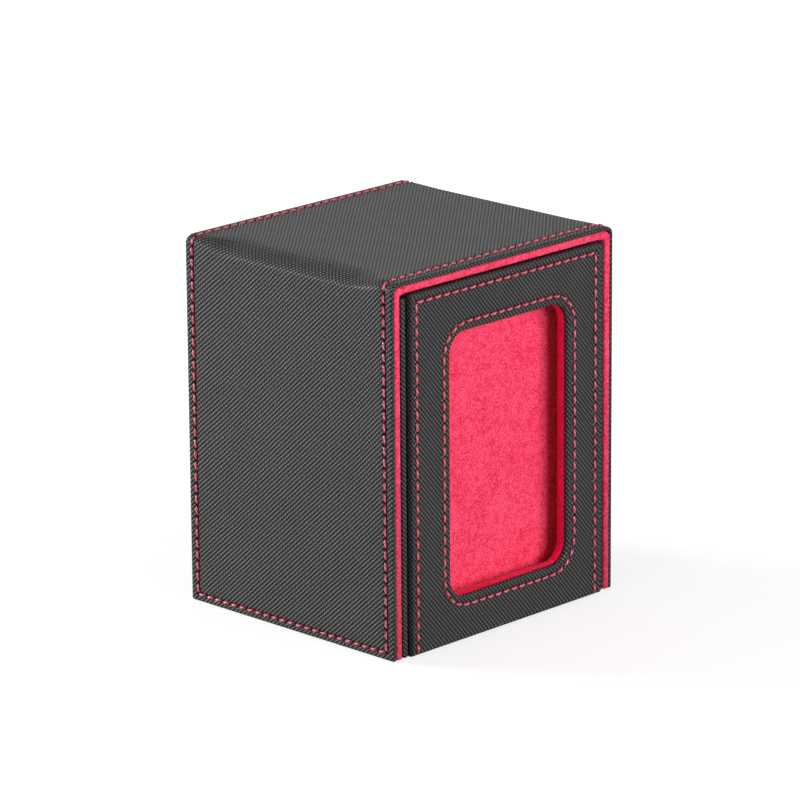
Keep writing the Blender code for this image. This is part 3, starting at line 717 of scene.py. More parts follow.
# %% The rule that folds the case's blank
FOLD_WIDE = 10.5 * MM
FOLD_TALL = 4.2 * MM
EDGE_FOLD_WIDE = 3.4 * MM
EDGE_FOLD_TALL = 2.5 * MM
TIGHT_EDGE = 4.0 * MM
SLACK_FROM = 18.0 * MM
RIGHT_SLACK = 0.15
FOLD_PARTS = 60
FOLD_ANGLES = spread(0.0, QUARTER_TURN, FOLD_PARTS)
COVER_THICKNESS = 1.3 * MM
CASE_CORNER = 0.9 * MM
CASE_CRISP = 0.9


def distances_along(points):
    """How far each point of a path lies from its start."""
    steps = [(second - first).length for first, second in zip(points, points[1:])]
    return [0.0, *accumulate(steps)]


@lru_cache(maxsize=None)
def fold_at(edge):
    """The fold's width and height, a quarter of an ellipse, and the distances along it."""
    wide = FOLD_WIDE + (EDGE_FOLD_WIDE - FOLD_WIDE) * edge
    tall = FOLD_TALL + (EDGE_FOLD_TALL - FOLD_TALL) * edge
    places = [Vector((wide * math.sin(angle), tall * math.cos(angle))) for angle in FOLD_ANGLES]
    return wide, tall, distances_along(places)


def half_span(edge):
    """The distance from the top's middle line over the fold to the foot."""
    wide, tall, distances = fold_at(edge)
    return HALF_WIDTH - wide + distances[-1] + HEIGHT - tall


CASE_FLAT_TOP = HALF_WIDTH - FOLD_WIDE
FOLD_END = HALF_WIDTH - EDGE_FOLD_WIDE + fold_at(1.0)[2][-1]
CASE_SPAN = half_span(0.0)
case_blank = Blank(
    Outline((CASE_HALF_DEPTH, CASE_SPAN), (0.0, 0.0), (CASE_CORNER, CASE_CORNER)),
    COVER_THICKNESS / 2, math.pi, COVER_THICKNESS / 2 * math.pi, lambda u, v: CASE_CRISP)
print("case blank: %.1f x %.1f mm" % (2 * CASE_HALF_DEPTH / MM, 2 * CASE_SPAN / MM))


# %% Fold a place of the case's blank
def over_the_case(span, edge):
    """Where a distance from the top's middle line lies, and the way its leather faces. A fold
    is slackest where edge is 0, and as tight as at the sheet's edges where edge is 1."""
    side = math.copysign(1.0, span)
    wide, tall, distances = fold_at(edge)
    past = abs(span) * half_span(edge) / CASE_SPAN - (HALF_WIDTH - wide)
    if past <= 0.0:
        return Vector((side * (HALF_WIDTH - wide + past), 0.0, HEIGHT)), UP
    part = min(bisect(distances, past), FOLD_PARTS)
    step = distances[part] - distances[part - 1]
    share = min(1.0, (past - distances[part - 1]) / step)
    angle = FOLD_ANGLES[part - 1] + (FOLD_ANGLES[part] - FOLD_ANGLES[part - 1]) * share
    down = max(0.0, past - distances[-1])
    place = Vector((side * (HALF_WIDTH - wide + wide * math.sin(angle)), 0.0,
                    HEIGHT - tall + tall * math.cos(angle) - down))
    facing = Vector((side * tall * math.sin(angle), 0.0, wide * math.cos(angle)))
    return place, facing.normalized()


def fold_case(u, v, depth):
    """The place on the case for a place on the blank: u towards the front, v over the top."""
    flat, back = hemmed(case_blank, u, v)
    from_edge = CASE_HALF_DEPTH - abs(flat.x)
    slack = max(0.0, min(1.0, (from_edge - TIGHT_EDGE) / (SLACK_FROM - TIGHT_EDGE)))
    slack = slack * slack * (3.0 - 2.0 * slack) * (1.0 if flat.y < 0.0 else RIGHT_SLACK)
    place, facing = over_the_case(flat.y, round(1.0 - slack, 3))
    return place + Vector((0.0, CASE_MIDDLE_Y - flat.x, 0.0)) - facing * (back + depth)


# %% The case's seam
SEAM_FROM_SIDE_FRONT = 3.3 * MM
SEAM_FROM_TOP_FRONT = 4.0 * MM
SEAM_FROM_REAR = 3.0 * MM
SEAM_FROM_FOOT = 2.3 * MM
CASE_STITCH = 3.5 * MM

side_front = CASE_HALF_DEPTH - SEAM_FROM_SIDE_FRONT
top_front = CASE_HALF_DEPTH - SEAM_FROM_TOP_FRONT
seam_rear = SEAM_FROM_REAR - CASE_HALF_DEPTH
seam_foot = CASE_SPAN - SEAM_FROM_FOOT
front_line = [(side_front, seam_foot), (side_front, FOLD_END),
              (top_front, HALF_WIDTH - EDGE_FOLD_WIDE)]
front_line += [(u, -v) for u, v in reversed(front_line)]
seam_corners = [Vector((u, v, 0.0))
                for u, v in front_line + [(seam_rear, -seam_foot), (seam_rear, seam_foot)]]
case_stitches = []
for i, corner in enumerate(seam_corners):
    case_stitches += straight_seam(seam_corners[i - 1], corner, CASE_STITCH)
print("case seam: %d stitches" % len(case_stitches))

# %% Cut, fold and sew the case's leather
SEAM_STEP = 0.45 * MM
FOLD_STEPS = 24
SLACK_STEPS = 9
FLAT_MARGIN = 1.0 * MM
SHEET = 0.4 * MM
SEAM_RINGS = [inset * MM for inset in
              (1.1, 1.5, 1.8, 2.05, 2.3, 2.55, 2.8, 3.05, 3.35, 3.6, 3.85, 4.2, 4.7)]

sheet = bmesh.new()
ring = inset_rings(sheet, case_blank, hem_rings(sheet, case_blank, SEAM_STEP), SEAM_RINGS)
bmesh.ops.contextual_create(sheet, geom=ring)
for line in spread(CASE_FLAT_TOP - FLAT_MARGIN, FOLD_END + FLAT_MARGIN, FOLD_STEPS):
    cut_all(sheet, 1, line)
    cut_all(sheet, 1, -line)
for inset in spread(SEAM_RINGS[-1], SLACK_FROM, SLACK_STEPS)[1:]:
    cut_all(sheet, 0, CASE_HALF_DEPTH - inset)
    cut_all(sheet, 0, inset - CASE_HALF_DEPTH)
keep_blank_map(sheet, lambda place: (place.x, place.y))
draw_in(sheet, case_stitches, fold_case)
carry(thicken(piece_from(sheet, "case_leather", LEATHER, UP), SHEET), "case", "case_cover")
carry(piece_from(sew(case_stitches, fold_case), "case_stitching", THREAD), "case")

# %% [markdown]
# ## Paths and folded sheets
# Cloth and thinner leather are folded along straight lines only. A grid is enough for
# them: its columns and rows are placed where the sheet bends, and a rule puts every
# crossing in space. The bends come from a path with rounded corners.

# %% Helpers for paths and sheets
ARC_STEPS = 6


def rounded_path(corners, radii):
    """Points along a path of straight lines whose corners are rounded."""
    points = [Vector(corners[0])]
    for i, radius in enumerate(radii, 1):
        here = Vector(corners[i])
        before = (Vector(corners[i - 1]) - here).normalized()
        after = (Vector(corners[i + 1]) - here).normalized()
        half_angle = before.angle(after) / 2
        centre = here + (before + after).normalized() * radius / math.sin(half_angle)
        start = here + before * radius / math.tan(half_angle) - centre
        end = here + after * radius / math.tan(half_angle) - centre
        bend = math.pi - 2 * half_angle
        for step in range(ARC_STEPS + 1):
            share = step / ARC_STEPS
            points.append(centre + start * math.sin((1 - share) * bend) / math.sin(bend)
                          + end * math.sin(share * bend) / math.sin(bend))
    points.append(Vector(corners[-1]))
    return points


def sheet_of(columns, rows, place):
    """A grid whose lines lie at given places of the blank, folded by a rule for its crossings."""
    shape = bmesh.new()
    lay = shape.loops.layers.uv.new("blank")
    made = bmesh.ops.create_grid(shape, x_segments=len(columns) - 1, y_segments=len(rows) - 1,
                                 size=1.0)["verts"]
    for vertex in made:
        i = round((vertex.co.x + 1) / 2 * (len(columns) - 1))
        j = round((vertex.co.y + 1) / 2 * (len(rows) - 1))
        vertex.co = place(i, j)
        for loop in vertex.link_loops:
            loop[lay].uv = (columns[i] / MM, rows[j] / MM)
    return shape


# %% [markdown]
# ## The case's lining
# Red cloth lines the case. It comes out over the front edges of the boards and is tucked
# between board and leather, which makes the red band round the drawer. Its section is a
# path from the tuck over the band to the inside, and that section runs along an arch:
# up one side, over the top and down the other.

# %% Fold the case's lining
BAND_OUTER_INSET = 1.4 * MM
BAND_LEFT_INSET = 1.3 * MM
BAND_TOP_INSET = 1.4 * MM
BAND_RIGHT_INSET = 1.15 * MM
BAND_OUTER_RADII = (2.8 * MM, 2.0 * MM)
BAND_TUCK = 1.6 * MM
INSIDE_INSET = 3.6 * MM
INSIDE_RADII = (3.2 * MM, 0.8 * MM)
BAND_ROLL = 0.7 * MM
BEND_STEPS = 8
LINING_SHEET = 0.45 * MM

lining_low, lining_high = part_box("case_lining")
section = rounded_path(
    [(BAND_OUTER_INSET, CASE_FRONT_Y + BAND_TUCK), (BAND_OUTER_INSET, CASE_FRONT_Y),
     (INSIDE_INSET, CASE_FRONT_Y), (INSIDE_INSET, lining_high.y)], [BAND_ROLL, BAND_ROLL])
arch_shares = ([-3.0] + spread(-2.0, -1.0, BEND_STEPS)
               + spread(1.0, 2.0, BEND_STEPS) + [3.0])


def on_an_arch(share, inset):
    """A place on an arch inside the case: shares 1 and 2 are a fold's ends, 3 is the foot."""
    inwards = (inset - BAND_OUTER_INSET) / (INSIDE_INSET - BAND_OUTER_INSET)
    side_inset = BAND_LEFT_INSET if share < 0.0 else BAND_RIGHT_INSET
    wide, tall = [outer + (inner - outer) * inwards
                  for outer, inner in zip(BAND_OUTER_RADII, INSIDE_RADII)]
    flat = HALF_WIDTH - side_inset - (INSIDE_INSET - side_inset) * inwards - wide
    fold_z = HEIGHT - BAND_TOP_INSET - (INSIDE_INSET - BAND_TOP_INSET) * inwards - tall
    angle = QUARTER_TURN * max(0.0, min(1.0, abs(share) - 1.0))
    down = max(0.0, abs(share) - 2.0) * (fold_z - lining_low.z)
    x = flat * min(1.0, abs(share)) + wide * math.sin(angle)
    return Vector((math.copysign(x, share), 0.0, fold_z + tall * math.cos(angle) - down))


sheet = sheet_of(
    distances_along(section), arch_shares,
    lambda i, j: on_an_arch(arch_shares[j], section[i].x) + Vector((0.0, section[i].y, 0.0)))
lining = piece_from(sheet, "case_lining_cloth", CLOTH, -UP)
carry(thicken(lining, LINING_SHEET), "case", "case_lining")

# %% [markdown]
# ## Wrapped panels
# The back and the base are boards wrapped in leather. Each is a flat blank with its hem
# rolled back, with nothing sewn on it, so one helper makes both. It is given the way
# from the blank to its place as a matrix.

# %% The back and the base
PANEL_STEP = 4.0 * MM
PANEL_HEM = 0.5 * MM


def wrapped_panel(name, outline, depth, to_place, node):
    """Leather wrapped over a board: its hem rolls over the edges and goes back by a depth."""
    panel = board_blank(outline, PANEL_HEM, depth, lambda u, v: 1.0)
    shape = bmesh.new()
    bmesh.ops.contextual_create(shape, geom=hem_rings(shape, panel, PANEL_STEP))
    keep_blank_map(shape, lambda place: (place.x, place.y))
    for vertex in shape.verts:
        flat, back = hemmed(panel, vertex.co.x, vertex.co.y)
        vertex.co = to_place @ Vector((flat.x, flat.y, -back))
    piece = piece_from(shape, name, LEATHER, to_place.to_3x3() @ UP)
    carry(thicken(piece, SHEET), "case", node)


back_low, back_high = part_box("back_cover")
base_low, base_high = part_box("base_cover")
TO_BACK = Matrix(((-1, 0, 0, 0), (0, 0, 1, back_high.y), (0, 1, 0, 0), (0, 0, 0, 1)))
TO_UNDERSIDE = Matrix(((-1, 0, 0, 0), (0, 1, 0, 0), (0, 0, -1, 0), (0, 0, 0, 1)))
wrapped_panel("back_leather",
              outline_between(back_low.xz, back_high.xz, 0.6 * MM, 2.6 * MM),
              back_high.y - back_low.y, TO_BACK, "back_cover")
wrapped_panel("base_leather", outline_between(base_low, base_high, 0.8 * MM),
              base_high.z - base_low.z, TO_UNDERSIDE, "base_cover")

# %% [markdown]
# ## Cloth on boards
# The linings of the back and the base, and the red panel behind the window, are cloth
# glued round thin boards. Such cloth is soft at its edges and a little fuller in the
# middle. A block gets rounded edges, then cuts across it, and its broad side is crowned.

# %% Cloth pads
PAD_EDGE_STEPS = 3
PAD_CUTS = 12
CROWN_POWER = 4


def cloth_pad(name, node, edge, crown, axis, side, body):
    """Cloth glued over a board: rounded edges, and a broad side that is a little crowned."""
    low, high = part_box(node)
    size = high - low
    shape = bmesh.new()
    bmesh.ops.create_cube(shape, size=1.0)
    bmesh.ops.scale(shape, vec=size, verts=shape.verts)
    bmesh.ops.bevel(shape, geom=shape.edges[:], offset=edge, segments=PAD_EDGE_STEPS,
                    affect="EDGES", profile=0.5, material=-1)
    others = [i for i in range(3) if i != axis]
    for i in others:
        for line in spread(edge - size[i] / 2, size[i] / 2 - edge, PAD_CUTS)[1:-1]:
            cut_all(shape, i, line)
    for vertex in shape.verts:
        fullness = 1.0
        for i in others:
            fullness *= 1.0 - min(1.0, abs(vertex.co[i]) * 2 / size[i]) ** CROWN_POWER
        if vertex.co[axis] * side > 0.0:
            vertex.co[axis] -= side * crown * (1.0 - fullness)
    bmesh.ops.translate(shape, vec=(low + high) / 2, verts=shape.verts)
    carry(piece_from(shape, name, CLOTH), body, node)


cloth_pad("back_cloth", "back_lining", 0.15 * MM, 0.1 * MM, 1, -1, "case")
cloth_pad("base_cloth", "base_lining", 0.15 * MM, 0.1 * MM, 2, 1, "case")
cloth_pad("window_floor_cloth", "display_panel", 0.5 * MM, 0.15 * MM, 1, -1, "drawer")

# %% [markdown]
# ## The drawer's leather
# A band of leather goes round the drawer: from inside the left cheek, over its rolled
# front edge, along the side, round the back and the same way to the right cheek. The
# cheeks are the front ends of the side walls, the black strips beside the flap. They
# reach lower than the drawer's floor, so the band is cut away behind them.

# %% The drawer's plan and its wall
DRAWER_LOW = 3.2 * MM
CHEEK_FRONT_Y = CASE_FRONT_Y
CHEEK_REAR_Y = -29.8 * MM
CHEEK_INSIDE = 41.65 * MM
CHEEK_START_Y = -31.0 * MM
CHEEK_ROLL = 0.8 * MM
DRAWER_CORNER = 1.0 * MM
EDGE_ROLL = 0.4 * MM


def rounding(radius, steps):
    """The two distances from a corner's sides, for points along its rounding."""
    return [(radius * (1 - math.sin(angle)), radius * (1 - math.cos(angle)))
            for angle in spread(0.0, QUARTER_TURN, steps)]


plan = rounded_path(
    [(-CHEEK_INSIDE, CHEEK_START_Y), (-CHEEK_INSIDE, CHEEK_FRONT_Y),
     (drawer_low.x, CHEEK_FRONT_Y), (drawer_low.x, drawer_high.y),
     (drawer_high.x, drawer_high.y), (drawer_high.x, CHEEK_FRONT_Y),
     (CHEEK_INSIDE, CHEEK_FRONT_Y), (CHEEK_INSIDE, CHEEK_START_Y)],
    [CHEEK_ROLL, CHEEK_ROLL, DRAWER_CORNER, DRAWER_CORNER, CHEEK_ROLL, CHEEK_ROLL])
roll = rounding(EDGE_ROLL, 4)
walls = [(CHEEK_ROLL, drawer_low.z)]
walls += [(inset, drawer_low.z + lift) for inset, lift in roll]
walls += [(0.0, DRAWER_LOW)]
walls += [(inset, drawer_high.z - drop) for inset, drop in reversed(roll)]
walls += [(CHEEK_ROLL, drawer_high.z)]
print("drawer's band: %d x %d lines" % (len(plan), len(walls)))

# %% Fold the band round the drawer
DRAWER_SHEET = 0.35 * MM
A_HAIR = 0.01 * MM


def cut_away(shape, unwanted):
    """Delete the faces whose middle a test picks."""
    faces = [face for face in shape.faces if unwanted(face.calc_center_median())]
    bmesh.ops.delete(shape, geom=faces, context="FACES")


def round_the_drawer(i, j):
    """A place on the drawer's band: i along the plan, j up the wall, whose ends are rolled in."""
    before = plan[max(0, i - 1)]
    after = plan[min(len(plan) - 1, i + 1)]
    run = (after - before).normalized()
    inset, z = walls[j]
    return Vector((plan[i].x + run.y * inset, plan[i].y - run.x * inset, z))


sheet = sheet_of(distances_along(plan), [z for inset, z in walls], round_the_drawer)
cut_all(sheet, 1, CHEEK_REAR_Y)
cut_away(sheet, lambda middle: middle.y > CHEEK_REAR_Y
         and not DRAWER_LOW <= middle.z <= drawer_high.z - A_HAIR)
drawer_band = piece_from(sheet, "drawer_leather", LEATHER, LEFT)
carry(thicken(drawer_band, DRAWER_SHEET), "drawer", "drawer_cover")

# %% The leather under the drawer
SOLE_PARTS = 4

sole_columns = spread(drawer_low.x + EDGE_ROLL, drawer_high.x - EDGE_ROLL, SOLE_PARTS)
sole_rows = spread(CHEEK_START_Y, drawer_high.y - EDGE_ROLL, SOLE_PARTS)
sheet = sheet_of(sole_columns, sole_rows,
                 lambda i, j: Vector((sole_columns[i], sole_rows[j], DRAWER_LOW)))
drawer_sole = piece_from(sheet, "drawer_sole_leather", LEATHER, -UP)
carry(thicken(drawer_sole, DRAWER_SHEET), "drawer", "drawer_cover")

# %% [markdown]
# ## The drawer's lining
# One cloth lines the card bay. It is turned over the walls' top edges, drops into the
# bay and covers its floor. Rings of edges make it, from the outer edge of the rim down
# to the floor, with the rim and the floor's corner rolled.

# %% Drop the lining into the bay
BAY_HALF = 41.65 * MM
BAY_FRONT_Y = -30.8 * MM
BAY_REAR_Y = 38.0 * MM
BAY_FLOOR_Z = 5.2 * MM
BAY_CORNER = 1.2 * MM
RIM_WIDTH = 1.5 * MM
RIM_ROLL = 0.5 * MM
FLOOR_ROLL = 0.8 * MM
BAY_SHEET = 0.28 * MM

rim_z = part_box("drawer_lining")[1].z
bay = outline_between((-BAY_HALF, BAY_FRONT_Y), (BAY_HALF, BAY_REAR_Y), BAY_CORNER)
drops = [(RIM_WIDTH - inset * MM, rim_z - drop * MM)
         for inset, drop in ((0.0, 0.25), (0.1, 0.07), (0.3, 0.0))]
drops += [(margin, rim_z - drop) for margin, drop in rounding(RIM_ROLL, 5)]
drops += [(-margin, BAY_FLOOR_Z + lift) for lift, margin in rounding(FLOOR_ROLL, 4)]

sheet = bmesh.new()
ring = new_ring(sheet, outset(bay, RIM_WIDTH), PANEL_STEP, drops[0][1])
for margin, z in drops[1:]:
    ring = next_ring(sheet, ring, to_margin(bay, margin, z))
bmesh.ops.contextual_create(sheet, geom=ring)
bay_cloth = piece_from(sheet, "drawer_lining_cloth", CLOTH, UP)
carry(thicken(bay_cloth, BAY_SHEET), "drawer", "drawer_lining")

# %% [markdown]
# ## Plates with a cut-out
# Two kinds of part are flat plates with a piece cut out: the drawer's side boards, whose
# front ends reach lower than the rest, and the spacer behind the window. One helper cuts
# the outline from a quad and draws it to its thickness. The side boards are made anew
# because the cheeks' leather lies a little further back in the photograph than in the
# solids, and would show their ends.

# %% Cut the side boards
BOARD_GAP = 0.5 * MM
BOARD_EDGE = 0.08 * MM


def cut_plate(low, high, axis, cuts, waste):
    """A plate between two corners: cut across, its waste taken away, drawn along an axis."""
    shape = bmesh.new()
    bmesh.ops.create_grid(shape, x_segments=1, y_segments=1, size=0.5)
    bmesh.ops.rotate(shape, verts=shape.verts,
                     matrix=Matrix.Rotation(math.radians(90), 3, "YX"[axis]))
    bmesh.ops.scale(shape, vec=high - low, verts=shape.verts)
    draw = on_axis(axis, (high - low)[axis])
    bmesh.ops.translate(shape, vec=(low + high) / 2 - draw / 2, verts=shape.verts)
    for cut in cuts:
        cut_all(shape, *cut)
    cut_away(shape, waste)
    drawn = bmesh.ops.extrude_face_region(shape, geom=shape.faces[:])["geom"]
    bmesh.ops.translate(shape, vec=draw,
                        verts=[item for item in drawn if isinstance(item, bmesh.types.BMVert)])
    bmesh.ops.recalc_face_normals(shape, faces=shape.faces)
    bmesh.ops.dissolve_limit(shape, angle_limit=0.01, verts=shape.verts, edges=shape.edges)
    return shape


def soften(shape, radius, steps):
    """Round the plate's sharp edges."""
    sharp = [edge for edge in shape.edges if edge.calc_face_angle(0.0) > math.radians(60)]
    bmesh.ops.bevel(shape, geom=sharp, offset=radius, segments=steps, affect="EDGES",
                    profile=0.5, material=-1)


toe_end = CHEEK_REAR_Y - BOARD_GAP
step_z = DRAWER_LOW + BOARD_GAP
for side in ("left", "right"):
    board_low, board_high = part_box("drawer_side_" + side)
    board_low.y = CHEEK_FRONT_Y + BOARD_GAP
    board = cut_plate(board_low, board_high, 0, [(1, toe_end), (2, step_z)],
                      lambda middle: middle.y > toe_end and middle.z < step_z)
    soften(board, BOARD_EDGE, 2)
    carry(piece_from(board, "side_board_" + side, GREYBOARD), "drawer", "drawer_side_" + side)

# %% [markdown]
# ## The pocket behind the window
# A U-shaped spacer covered in the same cloth stands on the red panel and leaves a pocket
# for one card, open at its top. The pocket's low corners are rounded, and so are all
# edges, as cloth makes them.

# %% Cut the spacer
POCKET_HALF = 34.5 * MM
POCKET_FLOOR_Z = 12.4 * MM
POCKET_CORNER = 1.5 * MM
SPACER_EDGE = 0.35 * MM
TOUCHING = 1e-6


def is_low_corner(edge):
    """Whether an edge runs from front to back in a low corner of the pocket."""
    first, second = [vertex.co for vertex in edge.verts]
    return (abs(first.x - second.x) < TOUCHING and abs(first.z - second.z) < TOUCHING
            and abs(abs(first.x) - POCKET_HALF) < TOUCHING
            and abs(first.z - POCKET_FLOOR_Z) < TOUCHING)


spacer = cut_plate(*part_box("display_spacer"), 1,
                   [(0, -POCKET_HALF), (0, POCKET_HALF), (2, POCKET_FLOOR_Z)],
                   lambda middle: abs(middle.x) < POCKET_HALF and middle.z > POCKET_FLOOR_Z)
bmesh.ops.bevel(spacer, geom=[edge for edge in spacer.edges if is_low_corner(edge)],
                offset=POCKET_CORNER, segments=5, affect="EDGES", profile=0.5, material=-1)
soften(spacer, SPACER_EDGE, 3)
carry(piece_from(spacer, "spacer_cloth", CLOTH), "drawer", "display_spacer")

# %% [markdown]
# ## The flap's leather
# The flap is a board with a window. Its leather is rolled over the outer edges and into
# the window, and sewn along both sides, along the top and round the window. The blank
# is the same kind as the case's, with a second set of rings round the window.

# %% The rule that folds the flap's blank
FLAP_CORNER = 1.0 * MM
FLAP_HEM = 1.0 * MM
FOOT_CRISP = 0.45
HEAD_CRISP = 0.6
RIGHT_CRISP = 1.5
FOOT_REACH = 20 * MM
RIGHT_REACH = 4 * MM
WINDOW_SHIFT = 0.45 * MM
WINDOW_STILE = 15.7 * MM
WINDOW_SILL = 13.4 * MM
WINDOW_HEAD = 15.2 * MM
WINDOW_CORNER = 6.5 * MM
WINDOW_HEM = 1.0 * MM
WINDOW_TURN = 1.6 * MM


def flap_crispness(u, v):
    """How square the flap's edge is: crisp at the foot, soft at the right."""
    upwards = min(1.0, max(0.0, (v - flap_low.z) / FOOT_REACH))
    rightwards = min(1.0, max(0.0, (u - flap_high.x) / RIGHT_REACH + 1.0))
    crisp = FOOT_CRISP + (HEAD_CRISP - FOOT_CRISP) * upwards
    return crisp + (RIGHT_CRISP - crisp) * rightwards * upwards


flap = outline_between(flap_low.xz, flap_high.xz, FLAP_CORNER)
flap_blank = board_blank(flap, FLAP_HEM, flap_high.y - flap_low.y, flap_crispness)
window = outline_between(
    (flap_low.x + WINDOW_STILE + WINDOW_SHIFT, flap_low.z + WINDOW_SILL),
    (flap_high.x - WINDOW_STILE + WINDOW_SHIFT, flap_high.z - WINDOW_HEAD), WINDOW_CORNER)
print("window: %.1f x %.1f mm" % (2 * window.half[0] / MM, 2 * window.half[1] / MM))


# %% Fold a place of the flap's blank
def fold_flap(u, v, depth):
    """The place on the flap for a place on the blank: u to the right, v up."""
    flat, back = hemmed(flap_blank, u, v)
    core, out, radius = from_core((u, v), window)
    distance = radius + WINDOW_HEM - out.length
    if distance > 0.0:
        inward, more = rolled(distance, WINDOW_HEM, QUARTER_TURN)
        flat = core + out.normalized() * (radius + WINDOW_HEM - inward)
        back += more
    return Vector((flat.x, flap_low.y + back + depth, flat.y))


def onto_window(old_half, margin, height=0.0):
    """A rule that moves a ring round the flap to a margin round its window."""
    new_half = [size + margin for size in window.half]
    settle = to_margin(window, margin, height)

    def move(place):
        return settle([window.centre[i] + (place[i] - flap.centre[i]) * new_half[i] / old_half[i]
                       for i in (0, 1)])
    return move


# %% The flap's seams
FLAP_LEFT_SEAM_INSET = 1.9 * MM
FLAP_RIGHT_SEAM_INSET = 3.2 * MM
FLAP_TOP_SEAM_INSET = 2.5 * MM
FLAP_FOOT_SEAM_INSET = 0.15 * MM
FLAP_STITCH = 3.6 * MM
WINDOW_SEAM_MARGIN = 2.85 * MM
WINDOW_STITCH = 3.45 * MM

seam_left = flap_low.x + FLAP_LEFT_SEAM_INSET
seam_right = flap_high.x - FLAP_RIGHT_SEAM_INSET
seam_top = flap_high.z - FLAP_TOP_SEAM_INSET
seam_foot = flap_low.z + FLAP_FOOT_SEAM_INSET
flap_corners = [Vector((seam_left, seam_foot, 0.0)), Vector((seam_left, seam_top, 0.0)),
                Vector((seam_right, seam_top, 0.0)), Vector((seam_right, seam_foot, 0.0))]
flap_stitches = []
for start, end in zip(flap_corners, flap_corners[1:]):
    flap_stitches += straight_seam(start, end, FLAP_STITCH)

seam = outset(window, WINDOW_SEAM_MARGIN)
ways = ((0, 1), (1, 1), (1, -1), (-1, -1), (-1, 1), (0, 1))
window_path = rounded_path([(seam.centre[0] + x * seam.half[0],
                             seam.centre[1] + y * seam.half[1], 0.0) for x, y in ways],
                           [seam.radii[0]] * 4)
window_stitches = round_seam(window_path[:-1], WINDOW_STITCH)
print("flap seams: %d and %d stitches" % (len(flap_stitches), len(window_stitches)))

# %% Cut, fold and sew the flap's leather
FLAP_RINGS = [inset * MM for inset in (1.4, 1.7, 2.0, 2.25, 2.5, 2.75, 3.0, 3.3, 3.7, 4.2)]
WINDOW_RINGS = [margin * MM for margin in (4.6, 4.1, 3.7, 3.4, 3.1, 2.85, 2.6, 2.3, 1.95, 1.5)]

sheet = bmesh.new()
ring = inset_rings(sheet, flap_blank, hem_rings(sheet, flap_blank, SEAM_STEP), FLAP_RINGS)
face_half = [size - FLAP_RINGS[-1] for size in flap.half]
ring = next_ring(sheet, ring, onto_window(face_half, WINDOW_RINGS[0]))
arc = WINDOW_HEM * QUARTER_TURN
margins = WINDOW_RINGS[1:] + [WINDOW_HEM - arc * i / HEM_STEPS for i in range(HEM_STEPS + 1)]
margins.append(WINDOW_HEM - arc - (WINDOW_TURN - WINDOW_HEM))
for margin in margins:
    ring = next_ring(sheet, ring, to_margin(window, margin))
keep_blank_map(sheet, lambda place: (-place.y, place.x))
draw_in(sheet, flap_stitches + window_stitches, fold_flap)
carry(thicken(piece_from(sheet, "flap_leather", LEATHER, FRONT), SHEET), "flap", "flap_cover")
carry(piece_from(sew(flap_stitches, fold_flap), "flap_stitching", THREAD), "flap")
carry(piece_from(sew(window_stitches, fold_flap), "window_stitching", THREAD), "flap")

# %% [markdown]
# ## The flap's lining
# Red cloth covers the back of the flap and comes forward through the window, where its
# edge meets the leather. So the window's edge is black in front and red behind. Rings
# make it again, from the outline to the window, over its rear edge and forward.

# %% Fold the flap's lining
LINING_SETBACK = 0.1 * MM
LINING_ROLL = 0.9 * MM
LINING_STEP = 1.5 * MM
FLAP_LINING_SHEET = 0.4 * MM

rear_low, rear_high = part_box("flap_lining")
rear_half = (rear_high.x, (rear_high.z - rear_low.z) / 2)
rear_y = rear_high.y
sheet = bmesh.new()
ring = new_ring(sheet, Outline(rear_half, flap.centre, flap.radii), LINING_STEP, rear_y)
ring = next_ring(sheet, ring, onto_window(rear_half, LINING_ROLL + FLAT_MARGIN, rear_y))
for forward, margin in reversed(rounding(LINING_ROLL, 5)):
    ring = next_ring(sheet, ring, to_margin(window, margin, rear_y - forward))
front_y = flap_low.y + WINDOW_TURN + LINING_SETBACK
next_ring(sheet, ring, to_margin(window, 0.0, front_y))
for vertex in sheet.verts:
    vertex.co = vertex.co.xzy
# The flap's lining takes the copy of the red nap whose darker colour is painted shade.
flap_cloth = piece_from(sheet, "flap_lining_cloth", SHADED_CLOTH, -FRONT)
carry(thicken(flap_cloth, FLAP_LINING_SHEET), "flap", "flap_lining")

# %% [markdown]
# ## The leather hinge
# The flap hangs on a tongue of leather, which is glued under the drawer and under the
# flap's lower edge. It bends where the two meet. This piece is one sheet that is tied to
# neither body, and its front end curls up to the flap's hem.

# %% Lay the hinge
TONGUE = [(y * MM, z * MM) for y, z in
          ((-31.2, 0.3), (-36.0, 0.3), (-40.0, 0.3), (-41.4, 0.3), (-42.0, 0.3), (-42.4, 0.31),
           (-42.8, 0.35), (-43.1, 0.43), (-43.4, 0.55), (-43.6, 0.68))]
TONGUE_PARTS = 8

strip_low, strip_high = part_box("hinge_strip")
tongue_columns = spread(strip_low.x, strip_high.x, TONGUE_PARTS)
sheet = sheet_of(tongue_columns, [y for y, z in TONGUE],
                 lambda i, j: Vector((tongue_columns[i], *TONGUE[j])))
tongue = thicken(piece_from(sheet, "hinge_leather", LEATHER, -UP), SHEET)
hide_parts("hinge_strip")
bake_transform(tongue)
print("%-22s %6d faces, bends from drawer to flap" % (tongue.name, len(tongue.data.polygons)))

# %% [markdown]
# ## Studio
# The camera stands where the photographer stood. Its place was worked out from the
# box's edges in the photograph. The floor is pale and keeps a soft shadow. Large lamps
# before and behind the box light its leather at a slant, which brings out the beads,
# and weak ones fill in the rest.

# %% Camera
CAMERA_PLACE = Vector((-1049.6, -1025.95, 493.6)) * MM
CAMERA_YAW = math.radians(45.62)
CAMERA_PITCH = math.radians(16.39)
CAMERA_ROLL = math.radians(-0.429)
FOCAL_PIXELS = 5051.0
IMAGE_PIXELS = 800.0

